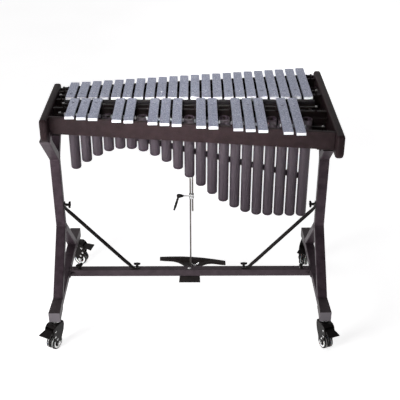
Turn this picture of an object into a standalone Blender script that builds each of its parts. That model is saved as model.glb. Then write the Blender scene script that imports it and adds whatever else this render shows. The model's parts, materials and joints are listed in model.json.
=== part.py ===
"""Three-octave vibraphone on a wheeled steel stand.

Axes: +X runs along the bars towards the longest (lowest) ones, -Y is the audience's side with
the raised row's resonators, +Y is the player's side with the damper pedal, +Z is up.
Lengths are metres. Everything hangs from one empty that stands the part on the floor with the
middle of its bounding box over the origin.
"""

import math

import bmesh
import bpy
from mathutils import Vector

# ---- driving dimensions -------------------------------------------------------------------
GAP = 0.0003            # running gap between pieces that touch or are cut by each other

PITCH = 0.0445          # spacing of neighbouring bars
BAR_WIDTH = 0.035
BAR_THICKNESS = 0.0113
BAR_TOP = 0.972         # playing height
ROW_SPLIT = 0.011       # gap between the two rows of bars
ROW_TAPER = 0.177       # bar length gained per metre towards +X
NATURAL_LENGTH = 0.2447         # length of a natural bar at X = 0
ACCIDENTAL_REACH = 0.2701       # audience-side end of an accidental bar at X = 0
NATURAL_COUNT = 22
SLOT_COUNT = 21
ACCIDENTAL_SLOTS = (1, 2, 3, 5, 6, 8, 9, 10, 12, 13, 15, 16, 17, 19, 20)
NODE_FRACTION = 0.23    # where a free bar does not move, as a share of its length
CORD_RADIUS = 0.0014
CORD_SIDES = 6
CORD_Z = BAR_TOP - BAR_THICKNESS / 2
BAR_FOOT = BAR_TOP - BAR_THICKNESS

BOARD_OUTER = 0.557     # outer face of an end board
BOARD_THICKNESS = 0.029
BOARD_INNER = BOARD_OUTER - BOARD_THICKNESS
BOARD_TOP = 0.963
BOARD_BOTTOM = 0.866
LEFT_BOARD_SPAN = (-0.211, 0.182)
RIGHT_BOARD_SPAN = (-0.356, 0.324)
BOARD_TOP_ROUND = 0.012
BOARD_BOTTOM_ROUND = 0.030

RAIL_TAPER = 0.139      # how fast the long boards spread towards +X
FRONT_RAIL_FACE = 0.2405
FRONT_RAIL_TOP = 0.959
FRONT_RAIL_BOTTOM = 0.890
REAR_RAIL_FACE = 0.246
REAR_RAIL_TOP = 0.945
LONG_RAIL_THICKNESS = 0.014
BAR_RAIL_WIDTH = 0.012
BAR_RAIL_TOP = 0.950
BAR_RAIL_BOTTOM = 0.888
POST_SIZE = 0.0045
POST_ROOT = 0.006

TUBE_RADIUS = 0.0202
TUBE_WALL = 0.0014
TUBE_TOP = 0.944
TUBE_SIDES = 10
TUBE_DOME_RADIUS = 0.0145
TUBE_DOME_HEIGHT = 0.0045
CAP_THICKNESS = 0.009
FRONT_BANK_Y = -0.1323
FRONT_BANK_TAPER = -0.0433
SOUND_SPEED = 345.0
LOWEST_NOTE_HZ = 261.6
END_CORRECTION = 0.6    # share of its radius by which a tube sounds longer than it is
NATURAL_TUBE_LEAST = 0.165      # the short naturals' tubes run on below their stops to here
NATURAL_TUBE_LIMIT = 0.255      # the two lowest tubes stop here instead of at a quarter wave
# the arched bank's lower ends fall from a crown to a foot on each side: (slot, height)
ARCH_CROWN = (5.5, 0.811)
ARCH_SHORT_FOOT = (-3.5, 0.628)     # beyond the first slot, so the arch is cut off half way down
ARCH_LONG_FOOT = (17.7, 0.5255)     # level from here to the longest tubes
STRAP_THICKNESS = 0.003
HANGER_LET_IN = 0.0022
HANGER_TOP = 0.939
HANGER_BOTTOM = 0.919
LOW_STRAP_SLOTS = (5, 21)
LOW_STRAP_MIDDLE = 0.7945       # centre height of the low strap at X = 0
LOW_STRAP_SLOPE = -0.238
LOW_STRAP_HEIGHT = 0.026

DAMPER_Y = -0.0055
DAMPER_LENGTH = 0.980
DAMPER_WIDTH = 0.032
DAMPER_BOTTOM = 0.930
DAMPER_TOP = 0.948
DAMPER_WALL = 0.0025
FELT_WIDTH = 0.030
SPRING_X = 0.478
SPRING_RADIUS = 0.007
SPRING_WIRE = 0.0012
SPRING_TURNS = 5
SPRING_STEPS = 8
LEDGE_INNER = 0.4895    # inner edge of the ledge that closes each end of the playing frame
LEDGE_LIP = 0.4675      # the right ledge reaches further in beside the shorter bank
LEDGE_LIP_SPAN = (-0.288, 0.130)
LEDGE_BOTTOM = 0.8795
LEDGE_TOP = 0.8835
LEDGE_HALF_LENGTHS = (0.160, 0.300)     # left, right
GUIDE_SHELF = 0.888
GUIDE_TOP = 0.925
GUIDE_THICKNESS = 0.004
GUIDE_HALF = 0.012

ROD_RADIUS = 0.0035
ROD_LEAN = 0.07         # the pull rods lean towards the player going down
UPPER_ROD_X = 0.0108
LOWER_ROD_X = 0.0010
UPPER_ROD_END = 0.440
LOWER_ROD_TOP = 0.604
LOWER_ROD_END = 0.1165
CLAMP_Z = 0.517
CLAMP_SIZE = (0.024, 0.016, 0.022)
ROD_LET_IN = 0.001      # how far the upper rod stops short of the channel's roof
LEVER_HUB_X = -0.046
LEVER_HUB_HALF = 0.010
LEVER_STUD_RADIUS = 0.004
LEVER_LENGTH = 0.072
LEVER_DIRECTION = (-0.30, 0, -0.954)
# (share of the handle's length, radius)
LEVER_PROFILE = ((0, 0.0055), (0.85, 0.0065), (1, 0.0045))

FRAME_X = 0.549         # middle of a side frame
FRAME_WIDTH = 0.040     # broad side of the side frames' tube, which faces the audience
TUBE_WIDTH = 0.032      # square tube of the crossbar, and narrow side of the side frames' tube
FORK_HEIGHT = 0.395     # where the column splits into the two legs
LEG_DROP = TUBE_WIDTH * 1.42    # upright width of a sloping leg
ARM_WIDTH = 0.045       # width of an upper arm at its flat top
ARM_DIAGONAL = TUBE_WIDTH * 0.70
YOKE_HEIGHT = 0.705     # where the column splits into the two upper arms
ARM_TOP = BOARD_BOTTOM - GAP
NEAR_ARM_REACH = 0.187
FAR_ARM_REACH = 0.170
RUNNER_TOP = 0.168
RUNNER_END = 0.2347
FOOT_TOP = 0.174
FOOT_BOTTOM = 0.129
FOOT_END = 0.333
FOOT_WIDTH = 0.047
CROSSBAR_WALL = 0.0025
STEM_RADIUS = 0.0055
STEM_TOP = 0.160
STEM_SIDES = 12
STEM_Y = 0.309

BRACE_COLUMN_Z = 0.489
BRACE_BAR_X = 0.250
BRACE_RADIUS = 0.008
BRACE_KNEE = (0.014, 0.036)     # from the column screw to where the stay is round
BRACE_HEEL = (0.018, 0.020)     # from the crossbar tab to where the stay is round
BRACE_FOOT = 0.026
BRACE_KNOB_INSET = 0.016
CROSSBAR_KNOB_X = 0.488
# wing knob: (distance from its seat, half width, half thickness)
KNOB_SECTIONS = (
    (0, 0.0070, 0.0070), (0.0100, 0.0060, 0.0060), (0.0105, 0.0155, 0.0058), (0.0240, 0.0140, 0.0045),
)
TAB_HALF_LENGTH = 0.011
TAB_HALF_WIDTH = 0.011
TAB_HALF_THICKNESS = 0.002

PEDAL_X = -0.004
PIN_Y = 0.020
PIN_Z = 0.118
PIN_RADIUS = 0.004
PIN_BORE = 0.0048
PIN_SIDES = 8
HUB_RADIUS = 0.010
HUB_HALF = 0.032
PEDAL_TOP = 0.1130
PEDAL_THICKNESS = 0.0095
# far and near corner of each end of the pedal's wing, and where the wing meets the waist
WING_LEFT = ((-0.142, 0.175), (-0.142, 0.155))
WING_RIGHT = ((0.159, 0.140), (0.159, 0.116))
WING_SHOULDERS = ((-0.018, 0.094), (0.035, 0.094))
WING_BOW = 0.0165
WING_ARCH = 0.0240
WING_ARCH_LEAN = 1.4
EDGE_STEPS = 6
BRACKET_HALF = 0.044    # half the width of the pedal's bracket
BRACKET_FRONT = -0.018
BRACKET_REAR = 0.032
BRACKET_FOOT = 0.110
BRACKET_FLARE = (0.003, 0.011)  # how far its lower front corners stand out, sideways and forwards
EAR_ROOT = 0.004
EAR_THICKNESS = 0.006
CUT_PAST = 0.008        # how far a cutter runs past the piece it cuts

WHEEL_RADIUS = 0.030
WHEEL_WIDTH = 0.017
WHEEL_INNER_FACE = 0.002
WHEEL_TRAIL = 0.024
WHEEL_SIDES = 14
WHEEL_ROUND = 0.003
WHEEL_HUB = 0.010
AXLE_RADIUS = 0.0038
AXLE_BORE = 0.0043
AXLE_SIDES = 8
BOLT_RADIUS = 0.0065
BOLT_HEAD = 0.004
RACE_ROOT = 0.004
CHEEK_OUTER = 0.0235
CHEEK_INNER = 0.0203
CROWN_TOP = 0.118
BRAKE_U = 0.036
BRAKE_Z = 0.094
RACE_RADII = (0.015, 0.019)
# side view of a caster's housing and of the slot through it: (distance along the trail, height)
HOOD = (
    (-0.019, 0.118), (-0.021, 0.100), (-0.014, 0.072), (0.004, 0.040), (0.012, 0.022), (0.027, 0.018),
    (0.036, 0.030), (0.046, 0.064), (0.050, 0.086), (0.044, 0.106), (0.030, 0.118),
)
HOOD_SLOT = (
    (-0.060, 0.010), (0.090, 0.010), (0.090, 0.108), (0.026, 0.108), (0.026, 0.070), (-0.060, 0.070),
)
# brake pedal: (distance along the trail, half width, bottom, top)
BRAKE_SECTIONS = (
    (0.0310, 0.0190, 0.072, 0.104), (0.0450, 0.0190, 0.072, 0.103), (0.0515, 0.0195, 0.084, 0.102),
    (0.0550, 0.0200, 0.093, 0.1010), (0.0840, 0.0260, 0.088, 0.0945),
)
# caster: name, side of the stand, front or rear foot, direction in which it trails
CASTERS = (
    ("near_left", -1, -1, 242.0),
    ("far_left", -1, 1, -14.0),
    ("near_right", 1, -1, -68.0),
    ("far_right", 1, 1, 252.0),
)

# name: (colour, roughness, metallic)
FINISHES = {
    "bar_silver": ((0.46, 0.50, 0.57), 0.34, 0.85),
    "board_plum": ((0.045, 0.030, 0.032), 0.50, 0.0),
    "stand_black": ((0.050, 0.042, 0.048), 0.42, 0.2),
    "resonator_grey": ((0.105, 0.088, 0.098), 0.40, 0.5),
    "black_plastic": ((0.012, 0.012, 0.013), 0.45, 0.0),
    "tyre_black": ((0.015, 0.015, 0.016), 0.60, 0.0),
    "bright_steel": ((0.62, 0.62, 0.62), 0.25, 1.0),
    "felt_black": ((0.020, 0.020, 0.022), 0.95, 0.0),
    "pedal_black": ((0.028, 0.022, 0.022), 0.48, 0.1),
}


# ---- solids ---------------------------------------------------------------------------------
def loft(bm, rings, closed=False):
    """Skins a list of rings of points; the two ends are capped unless the loft runs round."""
    loops = [[bm.verts.new(point) for point in ring] for ring in rings]
    count = len(loops[0])
    pairs = list(zip(loops, loops[1:]))
    if closed:
        pairs.append((loops[-1], loops[0]))
    for low, high in pairs:
        for i in range(count):
            j = (i + 1) % count
            bm.faces.new((low[i], low[j], high[j], high[i]))
    if not closed:
        bm.faces.new(loops[0])
        bm.faces.new(loops[-1])


def box(bm, low, high):
    """An axis-aligned block between two corners."""
    (x0, y0, z0), (x1, y1, z1) = low, high
    loft(bm, [[(x0, y0, z), (x1, y0, z), (x1, y1, z), (x0, y1, z)] for z in (z0, z1)])


def slab(bm, outline, axis, low, high):
    """A flat outline given in the other two axes, extruded along one axis."""
    order = {"x": lambda a, b, t: (t, a, b), "y": lambda a, b, t: (a, t, b), "z": lambda a, b, t: (a, b, t)}
    place = order[axis]
    loft(bm, [[place(a, b, t) for a, b in outline] for t in (low, high)])


def across(direction):
    """Two unit vectors square to a direction."""
    side = Vector((0, 0, 1)) if abs(direction.z) < 0.9 else Vector((1, 0, 0))
    u = direction.cross(side).normalized()
    return u, direction.cross(u).normalized()


def ring(centre, u, v, radius, sides, turn=0.5):
    """A regular polygon round a centre; turn shifts its corners by a share of one side."""
    steps = [2 * math.pi * (i + turn) / sides for i in range(sides)]
    return [centre + radius * (math.cos(t) * u + math.sin(t) * v) for t in steps]


def turned(bm, start, end, profile, sides, closed=False):
    """A turned piece: profile is (distance from start along the axis, radius)."""
    start = Vector(start)
    along = (Vector(end) - start).normalized()
    u, v = across(along)
    loft(bm, [ring(start + along * d, u, v, r, sides) for d, r in profile], closed)


def rod(bm, start, end, radius, sides):
    """A plain round rod."""
    length = (Vector(end) - Vector(start)).length
    turned(bm, start, end, ((0, radius), (length, radius)), sides)


# ---- objects --------------------------------------------------------------------------------
def finish(name):
    """The named Principled material, made once."""
    found = bpy.data.materials.get(name)
    if found:
        return found
    colour, roughness, metallic = FINISHES[name]
    made = bpy.data.materials.new(name)
    made.use_nodes = True
    shader = made.node_tree.nodes["Principled BSDF"]
    shader.inputs["Base Color"].default_value = (*colour, 1.0)
    shader.inputs["Roughness"].default_value = roughness
    shader.inputs["Metallic"].default_value = metallic
    return made


def piece(name, bm, finish_name, origin=(0, 0, 0), smooth=False):
    """Turns a bmesh into an object whose origin is on its joint axis."""
    origin = Vector(origin)
    bmesh.ops.recalc_face_normals(bm, faces=bm.faces)
    bmesh.ops.translate(bm, verts=bm.verts, vec=-origin)
    mesh = bpy.data.meshes.new(name)
    bm.to_mesh(mesh)
    bm.free()
    mesh.materials.append(finish(finish_name))
    if smooth:
        mesh.shade_smooth()
        mesh.set_sharp_from_angle(angle=math.radians(40))
    made = bpy.data.objects.new(name, mesh)
    made.location = origin
    made.parent = bpy.data.objects["vibraphone"]
    bpy.context.collection.objects.link(made)
    return made


def combine(target, bm, operation):
    """Cuts a bmesh out of an object, or joins it on, with a Boolean modifier."""
    bmesh.ops.recalc_face_normals(bm, faces=bm.faces)
    bmesh.ops.translate(bm, verts=bm.verts, vec=-target.location)
    name = f"{target.name}_{operation.lower()}_{len(target.modifiers) + 1}"
    mesh = bpy.data.meshes.new(name)
    bm.to_mesh(mesh)
    bm.free()
    tool = bpy.data.objects.new(name, mesh)
    tool.parent = target
    tool.hide_render = True
    tool.display_type = "WIRE"
    bpy.context.collection.objects.link(tool)
    modifier = target.modifiers.new(name, "BOOLEAN")
    modifier.operation = operation
    modifier.solver = "EXACT"
    modifier.object = tool


# ---- lines that the rows of bars and the rails follow ---------------------------------------
def natural_length(x):
    return NATURAL_LENGTH + ROW_TAPER * x


def accidental_reach(x):
    return ACCIDENTAL_REACH + ROW_TAPER * x


def natural_line(x, share):
    """Y of a point that lies at a share of a natural bar's length."""
    return share * natural_length(x)


def accidental_line(x, share):
    """Y of a point that lies at a share of an accidental bar's length from its inner end."""
    return -(ROW_SPLIT + share * (accidental_reach(x) - ROW_SPLIT))


def slot_x(slot):
    return (slot - (SLOT_COUNT + 1) / 2) * PITCH


def natural_xs():
    return [(i - (NATURAL_COUNT - 1) / 2) * PITCH for i in range(NATURAL_COUNT)]


def front_bank_y(x):
    return FRONT_BANK_Y + FRONT_BANK_TAPER * x


NODAL_LINES = {
    "natural_near": lambda x: natural_line(x, NODE_FRACTION),
    "natural_far": lambda x: natural_line(x, 1 - NODE_FRACTION),
    "accidental_far": lambda x: accidental_line(x, NODE_FRACTION),
    "accidental_near": lambda x: accidental_line(x, 1 - NODE_FRACTION),
}


# ---- playing frame --------------------------------------------------------------------------
def end_board_outline(span):
    """Side view of an end board: a long plank with small round tops and large round bottoms."""
    near, far = span
    corners = (
        (near, BOARD_TOP, BOARD_TOP_ROUND, 90),
        (near, BOARD_BOTTOM, BOARD_BOTTOM_ROUND, 180),
        (far, BOARD_BOTTOM, BOARD_BOTTOM_ROUND, 270),
        (far, BOARD_TOP, BOARD_TOP_ROUND, 0),
    )
    points = []
    for y, z, radius, first in corners:
        inward_y = radius if y == near else -radius
        inward_z = radius if z == BOARD_BOTTOM else -radius
        for step in range(4):
            angle = math.radians(first + 30 * step)
            out_y, out_z = radius * math.cos(angle), radius * math.sin(angle)
            points.append((y + inward_y + out_y, z + inward_z + out_z))
    return points


def make_end_boards():
    for name, side, span in (("left", -1, LEFT_BOARD_SPAN), ("right", 1, RIGHT_BOARD_SPAN)):
        bm = bmesh.new()
        slab(bm, end_board_outline(span), "x", side * BOARD_INNER, side * BOARD_OUTER)
        piece(f"{name}_end_board", bm, "board_plum", smooth=True)


def long_bar(bm, y_at, width, low, high, reach):
    """A straight bar between the end boards whose middle follows y_at(x)."""
    rings = []
    for x in (-reach, reach):
        y = y_at(x)
        half = width / 2
        rings.append([(x, y - half, low), (x, y + half, low), (x, y + half, high), (x, y - half, high)])
    loft(bm, rings)


def make_long_rails():
    half = LONG_RAIL_THICKNESS / 2
    reach = BOARD_INNER - GAP
    rails = (
        ("front_rail", lambda x: -(FRONT_RAIL_FACE + RAIL_TAPER * x) + half, FRONT_RAIL_TOP),
        ("rear_rail", lambda x: REAR_RAIL_FACE + RAIL_TAPER * x - half, REAR_RAIL_TOP),
    )
    for name, y_at, top in rails:
        bm = bmesh.new()
        long_bar(bm, y_at, LONG_RAIL_THICKNESS, FRONT_RAIL_BOTTOM, top, reach)
        piece(name, bm, "board_plum")


def make_ledges():
    """Thin shelves that close the underside of the frame beside the resonators' end brackets."""
    outer = BOARD_INNER - GAP
    left, right = LEDGE_HALF_LENGTHS
    near, far = LEDGE_LIP_SPAN
    plans = {
        "left": ((-outer, -left), (-LEDGE_INNER, -left), (-LEDGE_INNER, left), (-outer, left)),
        "right": (
            (outer, -right), (outer, right), (LEDGE_INNER, right), (LEDGE_INNER, far),
            (LEDGE_LIP, far), (LEDGE_LIP, near), (LEDGE_INNER, near), (LEDGE_INNER, -right),
        ),
    }
    for name, plan in plans.items():
        bm = bmesh.new()
        slab(bm, plan, "z", LEDGE_BOTTOM, LEDGE_TOP)
        piece(f"{name}_resonator_ledge", bm, "stand_black")


def make_bar_rails():
    """The rails under the nodes of the bars, each with its row of cord posts."""
    half = POST_SIZE / 2
    top = CORD_Z - CORD_RADIUS - GAP
    for name, y_at in NODAL_LINES.items():
        bm = bmesh.new()
        long_bar(bm, y_at, BAR_RAIL_WIDTH, BAR_RAIL_BOTTOM, BAR_RAIL_TOP, BOARD_INNER - GAP)
        rail = piece(f"{name}_bar_rail", bm, "stand_black")
        posts = bmesh.new()
        for x in post_xs(name.split("_")[0]):
            y = y_at(x)
            box(posts, (x - half, y - half, BAR_RAIL_TOP - POST_ROOT), (x + half, y + half, top))
        combine(rail, posts, "UNION")


# ---- bars and cords -------------------------------------------------------------------------
def post_xs(row):
    """Posts stand halfway between neighbouring bars and outside the first and last bar."""
    if row == "natural":
        return [x - PITCH / 2 for x in natural_xs()] + [natural_xs()[-1] + PITCH / 2]
    return [slot_x(k + 0.5) for k in range(SLOT_COUNT)]


def make_bars():
    """Each row of bars is one body, because its bars are strung on its two suspension cords."""
    rows = (
        ("natural_bars", natural_xs(), lambda x: (0.0, natural_length(x)), "natural"),
        ("accidental_bars", [slot_x(k) for k in ACCIDENTAL_SLOTS],
         lambda x: (-accidental_reach(x), -ROW_SPLIT), "accidental"),
    )
    for name, xs, ends, row in rows:
        bm = bmesh.new()
        for x in xs:
            near, far = ends(x)
            box(bm, (x - BAR_WIDTH / 2, near, BAR_FOOT), (x + BAR_WIDTH / 2, far, BAR_TOP))
        bars = piece(name, bm, "bar_silver")
        cords = bmesh.new()
        reach = max(abs(x) for x in post_xs(row)) + PITCH / 2
        for side in ("near", "far"):
            y_at = NODAL_LINES[f"{row}_{side}"]
            start, end = ((x, y_at(x), CORD_Z) for x in (-reach, reach))
            rod(cords, start, end, CORD_RADIUS, CORD_SIDES)
        combine(bars, cords, "UNION")


# ---- resonators -----------------------------------------------------------------------------
def arch_height(slot):
    """Lower end of a tube of the arched bank: half a cosine wave from the crown to either foot."""
    crown, top = ARCH_CROWN
    foot, bottom = ARCH_SHORT_FOOT if slot < crown else ARCH_LONG_FOOT
    share = min((slot - crown) / (foot - crown), 1)
    return bottom + (top - bottom) * (1 + math.cos(math.pi * share)) / 2


def natural_tube_end(index):
    """Lower end of a natural's tube: a quarter of its note's wavelength, within limits."""
    steps_from_low = NATURAL_COUNT - 1 - index
    octave, degree = divmod(steps_from_low, 7)
    semitones = 12 * octave + (0, 2, 4, 5, 7, 9, 11)[degree]
    wave = SOUND_SPEED / (LOWEST_NOTE_HZ * 2 ** (semitones / 12))
    quarter = wave / 4 - END_CORRECTION * TUBE_RADIUS
    return TUBE_TOP - min(max(quarter, NATURAL_TUBE_LEAST), NATURAL_TUBE_LIMIT)


def make_bank(name, places, hanger_y):
    """Closed-end tubes hung on one flat bar that is let into their walls."""
    tubes = bmesh.new()
    inner = TUBE_RADIUS - TUBE_WALL
    for x, y, foot in places:
        length = TUBE_TOP - foot
        profile = (
            (0, TUBE_DOME_RADIUS), (TUBE_DOME_HEIGHT, TUBE_RADIUS), (length, TUBE_RADIUS),
            (length, inner), (CAP_THICKNESS, inner),
        )
        turned(tubes, (x, y, foot), (x, y, TUBE_TOP), profile, TUBE_SIDES)
    bank = piece(f"{name}_resonator_bank", tubes, "resonator_grey", smooth=True)
    hanger = bmesh.new()
    long_bar(hanger, hanger_y, STRAP_THICKNESS, HANGER_BOTTOM, HANGER_TOP, BOARD_INNER - GAP)
    combine(bank, hanger, "UNION")


def make_resonators():
    let_in = TUBE_RADIUS - HANGER_LET_IN + STRAP_THICKNESS / 2
    slots = range(1, SLOT_COUNT + 1)
    arched = [(slot_x(j), front_bank_y(slot_x(j)), arch_height(j)) for j in slots]
    make_bank("accidental", arched, lambda x: front_bank_y(x) + let_in)
    straight = [(x, natural_line(x, 0.5), natural_tube_end(i)) for i, x in enumerate(natural_xs())]
    make_bank("natural", straight, lambda x: natural_line(x, 0.5) + let_in)

    half = STRAP_THICKNESS / 2
    half_height = LOW_STRAP_HEIGHT / 2
    corners = ((-half, -half_height), (half, -half_height), (half, half_height), (-half, half_height))
    rings = []
    for slot, overhang in zip(LOW_STRAP_SLOTS, (-PITCH / 2, PITCH / 2)):
        x = slot_x(slot) + overhang
        y = front_bank_y(x) + TUBE_RADIUS + half + GAP
        middle = LOW_STRAP_MIDDLE + LOW_STRAP_SLOPE * x
        rings.append([(x, y + dy, middle + dz) for dy, dz in corners])
    bm = bmesh.new()
    loft(bm, rings)
    piece("accidental_resonator_strap", bm, "stand_black")


# ---- damper ---------------------------------------------------------------------------------
def make_damper():
    half = DAMPER_WIDTH / 2
    reach = DAMPER_LENGTH / 2
    low, high = DAMPER_BOTTOM, DAMPER_TOP
    wall = DAMPER_WALL
    channel = (
        (DAMPER_Y - half, low), (DAMPER_Y - half + wall, low), (DAMPER_Y - half + wall, high - wall),
        (DAMPER_Y + half - wall, high - wall), (DAMPER_Y + half - wall, low), (DAMPER_Y + half, low),
        (DAMPER_Y + half, high), (DAMPER_Y - half, high),
    )
    bm = bmesh.new()
    slab(bm, channel, "x", -reach, reach)
    piece("damper_bar", bm, "stand_black")

    bm = bmesh.new()
    felt = FELT_WIDTH / 2
    box(bm, (-reach, DAMPER_Y - felt, high + GAP), (reach, DAMPER_Y + felt, BAR_FOOT - GAP))
    piece("damper_felt", bm, "felt_black")

    for name, side in (("left", -1), ("right", 1)):
        inner = side * (SPRING_X - GUIDE_HALF)
        outer = side * (BOARD_INNER - GAP)
        lip = side * (BOARD_INNER - GAP - GUIDE_THICKNESS)
        profile = (
            (inner, GUIDE_SHELF - GUIDE_THICKNESS), (outer, GUIDE_SHELF - GUIDE_THICKNESS),
            (outer, GUIDE_TOP), (lip, GUIDE_TOP), (lip, GUIDE_SHELF), (inner, GUIDE_SHELF),
        )
        bm = bmesh.new()
        slab(bm, profile, "y", DAMPER_Y - GUIDE_HALF, DAMPER_Y + GUIDE_HALF)
        piece(f"{name}_damper_guide", bm, "stand_black")
        make_damper_spring(f"{name}_damper_spring", side * SPRING_X)


def make_damper_spring(name, x):
    """A coil spring between a guide shelf and the roof of the damper bar."""
    low = GUIDE_SHELF + GAP + SPRING_WIRE
    high = DAMPER_TOP - DAMPER_WALL - GAP - SPRING_WIRE
    steps = SPRING_TURNS * SPRING_STEPS
    rings = []
    for step in range(steps + 1):
        angle = 2 * math.pi * step / SPRING_STEPS
        out = Vector((math.cos(angle), math.sin(angle), 0))
        z = low + (high - low) * step / steps
        centre = Vector((x, DAMPER_Y, z)) + out * SPRING_RADIUS
        rings.append(ring(centre, out, Vector((0, 0, 1)), SPRING_WIRE, 4))
    bm = bmesh.new()
    loft(bm, rings)
    piece(name, bm, "bright_steel", origin=(x, DAMPER_Y, GUIDE_SHELF), smooth=True)


def rod_point(x, z):
    """A point of a pull rod: both rods lean by the same amount from the damper bar."""
    return Vector((x, DAMPER_Y + (DAMPER_BOTTOM - z) * ROD_LEAN, z))


def make_pull_rods():
    for name, x, top, end in (
        ("upper_damper_rod", UPPER_ROD_X, DAMPER_TOP - DAMPER_WALL - ROD_LET_IN, UPPER_ROD_END),
        ("lower_damper_rod", LOWER_ROD_X, LOWER_ROD_TOP, LOWER_ROD_END),
    ):
        bm = bmesh.new()
        rod(bm, rod_point(x, end), rod_point(x, top), ROD_RADIUS, 8)
        piece(name, bm, "bright_steel", smooth=True)

    middle = rod_point((UPPER_ROD_X + LOWER_ROD_X) / 2, CLAMP_Z)
    size = Vector(CLAMP_SIZE) / 2
    bm = bmesh.new()
    box(bm, middle - size, middle + size)
    clamp = piece("rod_clamp", bm, "bright_steel", origin=middle)
    bores = bmesh.new()
    reach = size.z + CUT_PAST
    for x in (UPPER_ROD_X, LOWER_ROD_X):
        rod(bores, rod_point(x, CLAMP_Z - reach), rod_point(x, CLAMP_Z + reach), ROD_RADIUS + GAP, 8)
    combine(clamp, bores, "DIFFERENCE")

    hub = Vector((LEVER_HUB_X, middle.y, CLAMP_Z))
    bm = bmesh.new()
    hub_length = 2 * LEVER_HUB_HALF
    stud_end = hub_length + (middle.x - size.x - GAP) - (LEVER_HUB_X + LEVER_HUB_HALF)
    hub_start = hub - Vector((LEVER_HUB_HALF, 0, 0))
    barrel = (
        (0, 0.007), (0.004, 0.009), (hub_length, 0.008), (hub_length, LEVER_STUD_RADIUS),
        (stud_end, LEVER_STUD_RADIUS),
    )
    turned(bm, hub_start, hub, barrel, 8)
    lever = piece("clamp_lever", bm, "black_plastic", origin=hub, smooth=True)
    handle = bmesh.new()
    profile = [(share * LEVER_LENGTH, radius) for share, radius in LEVER_PROFILE]
    turned(handle, hub, hub + Vector(LEVER_DIRECTION), profile, 8)
    combine(lever, handle, "UNION")


# ---- pedal ----------------------------------------------------------------------------------
def bowed_edge(start, end, bow, lean, steps):
    """Points of an edge from start to end, bowed towards the player, the bow leaning to its end."""
    points = []
    for i in range(steps + 1):
        share = i / steps
        along = start[1] + (end[1] - start[1]) * share
        out = bow * math.sin(math.pi * share ** lean)
        points.append((start[0] + (end[0] - start[0]) * share, along + out))
    return points


def pedal_outline():
    """Plan of the pedal: a wide wing set slightly askew on a short waist, seen from above."""
    left_far, left_near = WING_LEFT
    right_far, right_near = WING_RIGHT
    left_shoulder, right_shoulder = WING_SHOULDERS
    far = bowed_edge(right_far, left_far, WING_BOW, 1, EDGE_STEPS)
    left = bowed_edge(left_near, left_shoulder, WING_ARCH, WING_ARCH_LEAN, EDGE_STEPS)
    right = bowed_edge(right_near, right_shoulder, WING_ARCH, WING_ARCH_LEAN, EDGE_STEPS)
    waist = [(-0.016, 0.060), (-0.028, PIN_Y), (0.024, PIN_Y), (0.030, 0.060)]
    return far + left + waist + right[::-1]


def make_pedal():
    pivot = (PEDAL_X, PIN_Y, PIN_Z)
    bm = bmesh.new()
    slab(bm, pedal_outline(), "z", PEDAL_TOP - PEDAL_THICKNESS, PEDAL_TOP)
    pedal = piece("pedal", bm, "pedal_black", origin=pivot)
    sleeve = bmesh.new()
    rod(sleeve, (PEDAL_X - HUB_HALF, PIN_Y, PIN_Z), (PEDAL_X + HUB_HALF, PIN_Y, PIN_Z), HUB_RADIUS, PIN_SIDES)
    combine(pedal, sleeve, "UNION")
    bore = bmesh.new()
    reach = HUB_HALF + CUT_PAST
    rod(bore, (PEDAL_X - reach, PIN_Y, PIN_Z), (PEDAL_X + reach, PIN_Y, PIN_Z), PIN_BORE, PIN_SIDES)
    combine(pedal, bore, "DIFFERENCE")


def make_pedal_bracket():
    """A flared block clamped under the crossbar, whose two ears hold the pedal's pin."""
    half, inner = BRACKET_HALF, BRACKET_HALF - EAR_THICKNESS
    plan = (
        (-half, BRACKET_FRONT), (half, BRACKET_FRONT), (half, BRACKET_REAR), (inner, BRACKET_REAR),
        (inner, EAR_ROOT), (-inner, EAR_ROOT), (-inner, BRACKET_REAR), (-half, BRACKET_REAR),
    )
    bm = bmesh.new()
    crossbar_bottom = RUNNER_TOP - TUBE_WIDTH
    slab(bm, [(PEDAL_X + x, y) for x, y in plan], "z", BRACKET_FOOT, crossbar_bottom - GAP)
    flare_x, flare_y = BRACKET_FLARE
    for vertex in bm.verts:
        if vertex.co.y < 0 and vertex.co.z < PIN_Z:
            vertex.co.y -= flare_y
            vertex.co.x += math.copysign(flare_x, vertex.co.x - PEDAL_X)
    piece("pedal_bracket", bm, "stand_black")

    bm = bmesh.new()
    reach = inner - GAP
    rod(bm, (PEDAL_X - reach, PIN_Y, PIN_Z), (PEDAL_X + reach, PIN_Y, PIN_Z), PIN_RADIUS, PIN_SIDES)
    piece("pedal_hinge_pin", bm, "bright_steel")


# ---- stand ----------------------------------------------------------------------------------
def side_frame_outline():
    """Side view of a welded side frame: runner, two legs, column and two upper arms."""
    half = TUBE_WIDTH / 2
    notch = YOKE_HEIGHT + 2 * (ARM_DIAGONAL - half) + half
    foot = RUNNER_TOP - TUBE_WIDTH
    return (
        (-RUNNER_END, foot), (RUNNER_END, foot), (RUNNER_END, RUNNER_TOP),
        (half, FORK_HEIGHT), (half, YOKE_HEIGHT),
        (FAR_ARM_REACH, ARM_TOP), (FAR_ARM_REACH - ARM_WIDTH, ARM_TOP),
        (0.0, notch),
        (-NEAR_ARM_REACH + ARM_WIDTH, ARM_TOP), (-NEAR_ARM_REACH, ARM_TOP),
        (-half, YOKE_HEIGHT), (-half, FORK_HEIGHT), (-RUNNER_END, RUNNER_TOP),
    )


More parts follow.
